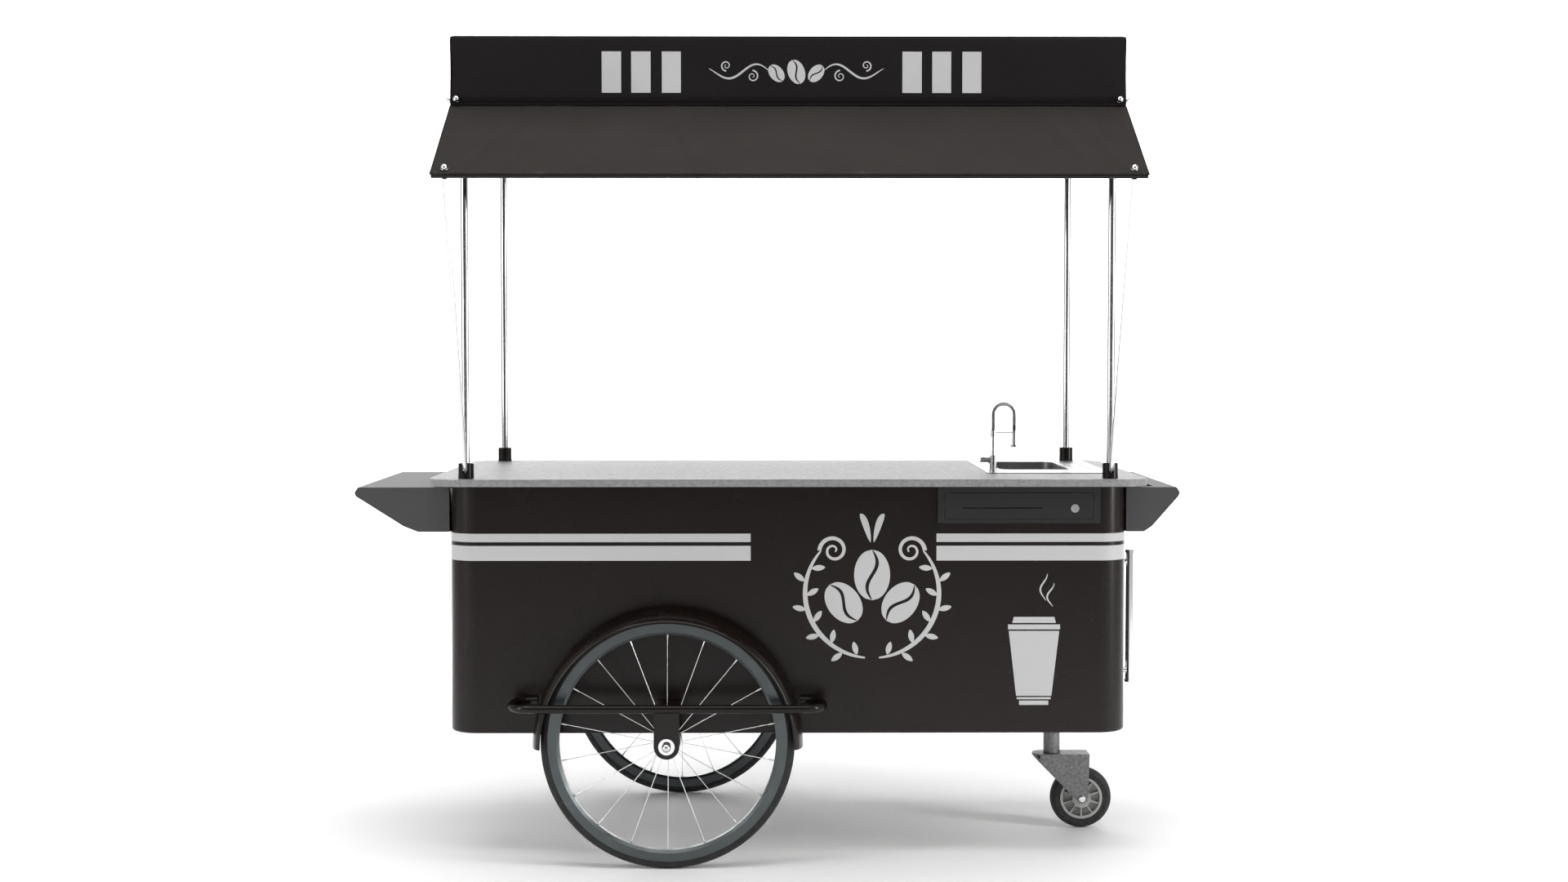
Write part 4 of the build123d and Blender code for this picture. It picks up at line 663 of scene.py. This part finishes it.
def badgeStrips():
    middle, level = cartMiddle + badge["x"], badge["z"]
    wide, tall = badge["width"] / 2, badge["height"] / 2
    arms = coffeeBean((middle, level + 0.20 * tall), 0.62 * tall, 0.44 * tall, 0)
    arms += coffeeBean((middle - 0.34 * wide, level - 0.14 * tall), 0.56 * tall, 0.40 * tall, 38)
    arms += coffeeBean((middle + 0.34 * wide, level - 0.14 * tall), 0.56 * tall, 0.40 * tall, -38)
    curls, leaves = [], []
    for side in (-1, 1):
        def sweep(share, side=side):
            # long arm from under the beans, out and up beside them
            angle = math.radians(-84 + 124 * share)
            return middle + side * 0.80 * wide * math.cos(angle), level - 0.02 * tall + 0.80 * tall * math.sin(angle)
        arms.append(ribbon(sweep, taper(13 * mm, 0.3), 60))
        curls.append(volute((middle + side * 0.46 * wide, level + 0.50 * tall), 0.17 * wide,
                            0 if side > 0 else 180, side * 1.6, 11 * mm))
        for step in range(9):
            # leaves along the arm, outside and inside by turns
            share = 0.06 + 0.1 * step
            outer = 1 if step % 2 else -1
            angle = math.radians(-84 + 124 * share)
            lean = angle + outer * math.radians(28) + (0 if outer > 0 else math.pi)
            root = Vector(sweep(share)) + Vector((side * math.cos(angle), math.sin(angle))) * 0.02 * wide * outer
            tip = root + Vector((side * math.cos(lean), math.sin(lean))) * 0.16 * wide
            leaves.append(ribbon(lambda along, root=root, tip=tip: root + (tip - root) * along,
                                 taper(15 * mm, 0.02), 24))
        leaves.append(ribbon(lambda share, side=side: (
            middle + side * (0.02 + 0.13 * share) * wide,
            level + (0.60 + 0.34 * math.sin(math.pi / 2 * share)) * tall), taper(17 * mm, 0.02), 30))
    return [arms, curls, leaves]


cabinetSkin = FlatFront(cabinetLow.y - stripes["stand"])
stripsToPiece("cabinet_cup_mark", [cupStrips()], cabinetSkin, "vinyl")
stripsToPiece("cabinet_bean_wreath", badgeStrips(), cabinetSkin, "vinyl")

valance = {
    "bars": [(-482, -432), (-406, -356), (-327, -278), (294, 344), (371, 420), (449, 498)],
    "barBottom": 2010, "barTop": 2116,
    "badgeLeft": -206, "badgeRight": 246, "badgeLevel": 2064, "badgeHalf": 38,
}


def valanceStrips():
    strips, curls = [], []
    for left, right in valance["bars"]:
        pairs = bar(cartMiddle + left * mm, cartMiddle + right * mm, 0, 0, 6)
        for row in range(6):
            low = (valance["barBottom"] + (valance["barTop"] - valance["barBottom"]) * row / 6) * mm
            high = (valance["barBottom"] + (valance["barTop"] - valance["barBottom"]) * (row + 1) / 6) * mm
            strips.append([(Vector((first.x, high)), Vector((second.x, low))) for first, second in pairs])
    middle = cartMiddle + (valance["badgeLeft"] + valance["badgeRight"]) / 2 * mm
    half = (valance["badgeRight"] - valance["badgeLeft"]) / 2 * mm
    level, tall = valance["badgeLevel"] * mm, valance["badgeHalf"] * mm
    strips += coffeeBean((middle, level), 1.7 * tall, 1.15 * tall, 20)
    for side in (-1, 1):
        strips += coffeeBean((middle + side * 1.35 * tall, level - 0.1 * tall), 1.35 * tall, 0.92 * tall, -side * 40)
        strips.append(ribbon(lambda share, side=side: (
            middle + side * (0.30 * half + 0.70 * half * share),
            level + 0.55 * tall * math.sin(2.2 * math.pi * share) * (1 - 0.3 * share)), taper(5.5 * mm), 60))
        curls.append(volute((middle + side * 0.50 * half, level - 0.30 * tall), 0.40 * tall, 90, side * 1.5, 4 * mm))
        curls.append(volute((middle + side * 0.80 * half, level + 0.42 * tall), 0.36 * tall, -90, side * 1.5, 4 * mm))
    return [strips, curls]


stripsToPiece("canopy_print", valanceStrips(), ClothFront(coverLow.y - 0.35 * mm), "whiteInk")
print("graphics: stripes, cup, wreath and canopy print cut")


# ---- stitches along the hems, with Geometry Nodes
stitch = {
    "spacing": 7 * mm, "length": 4.6 * mm, "radius": 0.7 * mm,
    "hem": 14 * mm,              # flap edge to stitch row
}


def stitchTree():
    tree = bpy.data.node_groups.new("stitch_row", "GeometryNodeTree")
    addSocket = tree.interface.new_socket
    addSocket("Geometry", in_out="INPUT", socket_type="NodeSocketGeometry")
    sockets = {name: addSocket(name, in_out="INPUT", socket_type="NodeSocketFloat").identifier
               for name in ("Spacing", "Length", "Radius")}
    sockets["Material"] = addSocket("Material", in_out="INPUT", socket_type="NodeSocketMaterial").identifier
    addSocket("Geometry", in_out="OUTPUT", socket_type="NodeSocketGeometry")
    entry = addNode(tree, "NodeGroupInput")
    points = addNode(tree, "GeometryNodeResampleCurve", {"mode": "LENGTH"}, {
        "Curve": entry.outputs["Geometry"], "Length": entry.outputs["Spacing"]})
    tangent = addNode(tree, "GeometryNodeInputTangent")
    turn = addNode(tree, "FunctionNodeAlignRotationToVector", {"axis": "Z"}, {"Vector": tangent.outputs["Tangent"]})
    strand = addNode(tree, "GeometryNodeMeshCylinder", {"fill_type": "TRIANGLE_FAN"}, {
        "Vertices": 6, "Radius": entry.outputs["Radius"], "Depth": entry.outputs["Length"]})
    copies = addNode(tree, "GeometryNodeInstanceOnPoints", inputs={
        "Points": points.outputs["Curve"], "Instance": strand.outputs["Mesh"],
        "Rotation": turn.outputs["Rotation"]})
    real = addNode(tree, "GeometryNodeRealizeInstances", inputs={"Geometry": copies.outputs["Instances"]})
    dressed = addNode(tree, "GeometryNodeSetMaterial", inputs={
        "Geometry": real.outputs["Geometry"], "Material": entry.outputs["Material"]})
    addNode(tree, "NodeGroupOutput", inputs={"Geometry": dressed.outputs["Geometry"]})
    return tree, sockets


def stitchRows(name, rows):
    curve = bpy.data.curves.new(name + "_path", "CURVE")
    curve.dimensions = "3D"
    for row in rows:
        spline = curve.splines.new("POLY")
        spline.points.add(len(row) - 1)
        for point, spot in zip(spline.points, row):
            point.co = (*spot, 1)
    path = bpy.data.objects.new(name + "_path", curve)
    bpy.context.scene.collection.objects.link(path)
    tree, sockets = stitchTree()
    modifier = path.modifiers.new("stitches", "NODES")
    modifier.node_group = tree
    modifier[sockets["Spacing"]] = stitch["spacing"]
    modifier[sockets["Length"]] = stitch["length"]
    modifier[sockets["Radius"]] = stitch["radius"]
    modifier[sockets["Material"]] = finishes["thread"]
    piece = plainMesh(path, name)
    finishPiece(piece, "thread", "cart")
    return piece


def flapSpot(share, down, lift):
    length = (flapFoot - flapTop).length
    spot = Vector((flapLow.x + (flapHigh.x - flapLow.x) * share, flapTop.y, flapTop.z)) + flapDown * length * down
    return spot + flapOut * (flapRelief(share, down) + lift)


def hemRows():
    lift = 0.2 * mm
    flapLength = (flapFoot - flapTop).length
    inset = stitch["hem"] / flapLength
    sideInset = stitch["hem"] / (flapHigh.x - flapLow.x)
    count = 160
    rows = [[flapSpot(index / count, 1 - inset, lift) for index in range(count + 1)]]
    for side in (sideInset, 1 - sideInset):
        rows.append([flapSpot(side, index / 40, lift) for index in range(41)])
    level = coverLow.z + 5 * mm
    span = coverHigh.x - coverLow.x
    edge = canopyCloth["foldRadius"]
    xs = [coverLow.x + edge + (span - 2 * edge) * index / count for index in range(count + 1)]
    for y, out in ((coverLow.y, -1), (coverHigh.y, 1)):
        rows.append([Vector((x, y + out * (wallRelief(x, level) + lift), level)) for x in xs])
    return rows


stitchRows("canopy_stitches", hemRows())
print("stitches: hems sewn")


# ---- faucet spring, a close coil on the hose
coil = {"wire": 1.9 * mm, "pitch": 4.3 * mm, "pointsPerTurn": 14}


def makeCoil():
    low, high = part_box("faucet_spring")
    outer = (high.y - low.y) / 2
    middleY = (low.y + high.y) / 2
    bend = (high.x - low.x) / 2 - outer
    footX, crown = low.x + outer, high.z - outer - bend
    rise = crown - low.z
    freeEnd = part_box("spray_hose")[0].z + 17 * mm
    drop = crown - freeEnd
    total = rise + math.pi * bend + drop
    ring = outer - coil["wire"] / 2
    turns = total / coil["pitch"]
    count = int(turns * coil["pointsPerTurn"])
    curve = bpy.data.curves.new("faucet_coil_path", "CURVE")
    curve.dimensions = "3D"
    curve.bevel_depth = coil["wire"] / 2
    curve.bevel_resolution = 2
    curve.use_fill_caps = True
    spline = curve.splines.new("POLY")
    spline.points.add(count)
    for index in range(count + 1):
        run = total * index / count
        if run < rise:
            spot, ahead = Vector((footX, middleY, low.z + run)), Vector((0, 0, 1))
        elif run < rise + math.pi * bend:
            angle = (run - rise) / bend
            spot = Vector((footX + bend - bend * math.cos(angle), middleY, crown + bend * math.sin(angle)))
            ahead = Vector((math.sin(angle), 0, math.cos(angle)))
        else:
            spot = Vector((footX + 2 * bend, middleY, crown - (run - rise - math.pi * bend)))
            ahead = Vector((0, 0, -1))
        across = Vector((0, 1, 0))
        beside = ahead.cross(across)
        turn = 2 * math.pi * turns * index / count
        spline.points[index].co = (*(spot + ring * (across * math.cos(turn) + beside * math.sin(turn))), 1)
    path = bpy.data.objects.new("faucet_coil_path", curve)
    bpy.context.scene.collection.objects.link(path)
    piece = plainMesh(path, "faucet_coil")
    finishPiece(piece, "chrome", "spout")
    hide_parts("faucet_spring")


makeCoil()
print("faucet: coil wound")


# ---- floor, light and camera
studio = {
    "floor": "#fbfbfb", "skyStrength": 0.5, "darkFrom": -0.975, "lightFrom": -0.86, "frontTone": "#1a1a1a",
    "camera": (-0.0009, -5.9869, 1.3649), "tiltDown": 2.5773, "turnRight": 0.4368, "lens": 50,
}


def makeFloor():
    size, rise, bend, back = 14.0, 7.0, 3.0, 8.0
    profile = [(-size, 0.0), (-size / 2, 0.0), (0.0, 0.0), (back - bend, 0.0)]
    for index in range(1, 17):
        angle = math.pi / 2 * index / 16
        profile.append((back - bend + bend * math.sin(angle), bend - bend * math.cos(angle)))
    profile.append((back, rise))
    vertices, faces = [], []
    for x in (-size, size):
        vertices += [(x, y, z) for y, z in profile]
    count = len(profile)
    for index in range(count - 1):
        faces.append((index, index + count, index + count + 1, index + 1))
    mesh = bpy.data.meshes.new("studio_floor")
    mesh.from_pydata(vertices, [], faces)
    floor = bpy.data.objects.new("studio_floor", mesh)
    bpy.context.scene.collection.objects.link(floor)
    material, tree, shader = startMaterial("pale_studio_paper", studio["floor"], Roughness=0.9)
    floor.data.materials.append(material)
    for face in floor.data.polygons:
        face.use_smooth = True


def addLight(name, place, target, size, power, colour="#ffffff"):
    data = bpy.data.lights.new(name, "AREA")
    data.shape = "RECTANGLE"
    data.size, data.size_y = size
    data.energy = power
    data.color = toLinear(colour)[:3]
    light = bpy.data.objects.new(name, data)
    bpy.context.scene.collection.objects.link(light)
    light.location = place
    light.rotation_euler = (Vector(target) - Vector(place)).to_track_quat("-Z", "Y").to_euler()


makeFloor()
addLight("top_soft_box", (0, -0.5, 5.2), (0, 0.2, 0), (5.0, 4.0), 230)
addLight("left_strip_box", (-4.6, -3.2, 2.6), (-0.3, 0, 0.9), (1.0, 3.4), 70)
addLight("right_strip_box", (4.6, -2.2, 2.2), (0.6, 0, 0.9), (0.7, 3.4), 95)
addLight("wall_wash", (0, 3.0, 3.4), (0, 8.0, 2.0), (10.0, 2.5), 900)
world = bpy.data.worlds.new("studio")
bpy.context.scene.world = world
world.use_nodes = True
sky = world.node_tree.nodes["Background"]
sky.inputs["Strength"].default_value = studio["skyStrength"]
# the room is darker in front of the cart than beside and behind it, which draws the chrome
skyPlace = addNode(world.node_tree, "ShaderNodeTexCoord")
skyTurn = addNode(world.node_tree, "ShaderNodeSeparateXYZ", inputs={"Vector": skyPlace.outputs["Generated"]})
skyDepth = addNode(world.node_tree, "ShaderNodeMapRange", inputs={
    "Value": skyTurn.outputs["Y"], "From Min": studio["darkFrom"], "From Max": studio["lightFrom"]})
skyTone = mixColours(world.node_tree, skyDepth.outputs["Result"], studio["frontTone"], "#ffffff")
world.node_tree.links.new(skyTone.outputs["Color"], sky.inputs["Color"])
bpy.context.scene.view_settings.view_transform = "Standard"

cameraData = bpy.data.cameras.new("camera")
cameraData.lens = studio["lens"]
cameraData.sensor_width = 36
camera = bpy.data.objects.new("camera", cameraData)
bpy.context.scene.collection.objects.link(camera)
camera.location = studio["camera"]
camera.rotation_euler = (math.radians(90 - studio["tiltDown"]), 0, math.radians(-studio["turnRight"]))
bpy.context.scene.camera = camera
print("studio: floor, light and camera set")

bpy.context.view_layer.update()
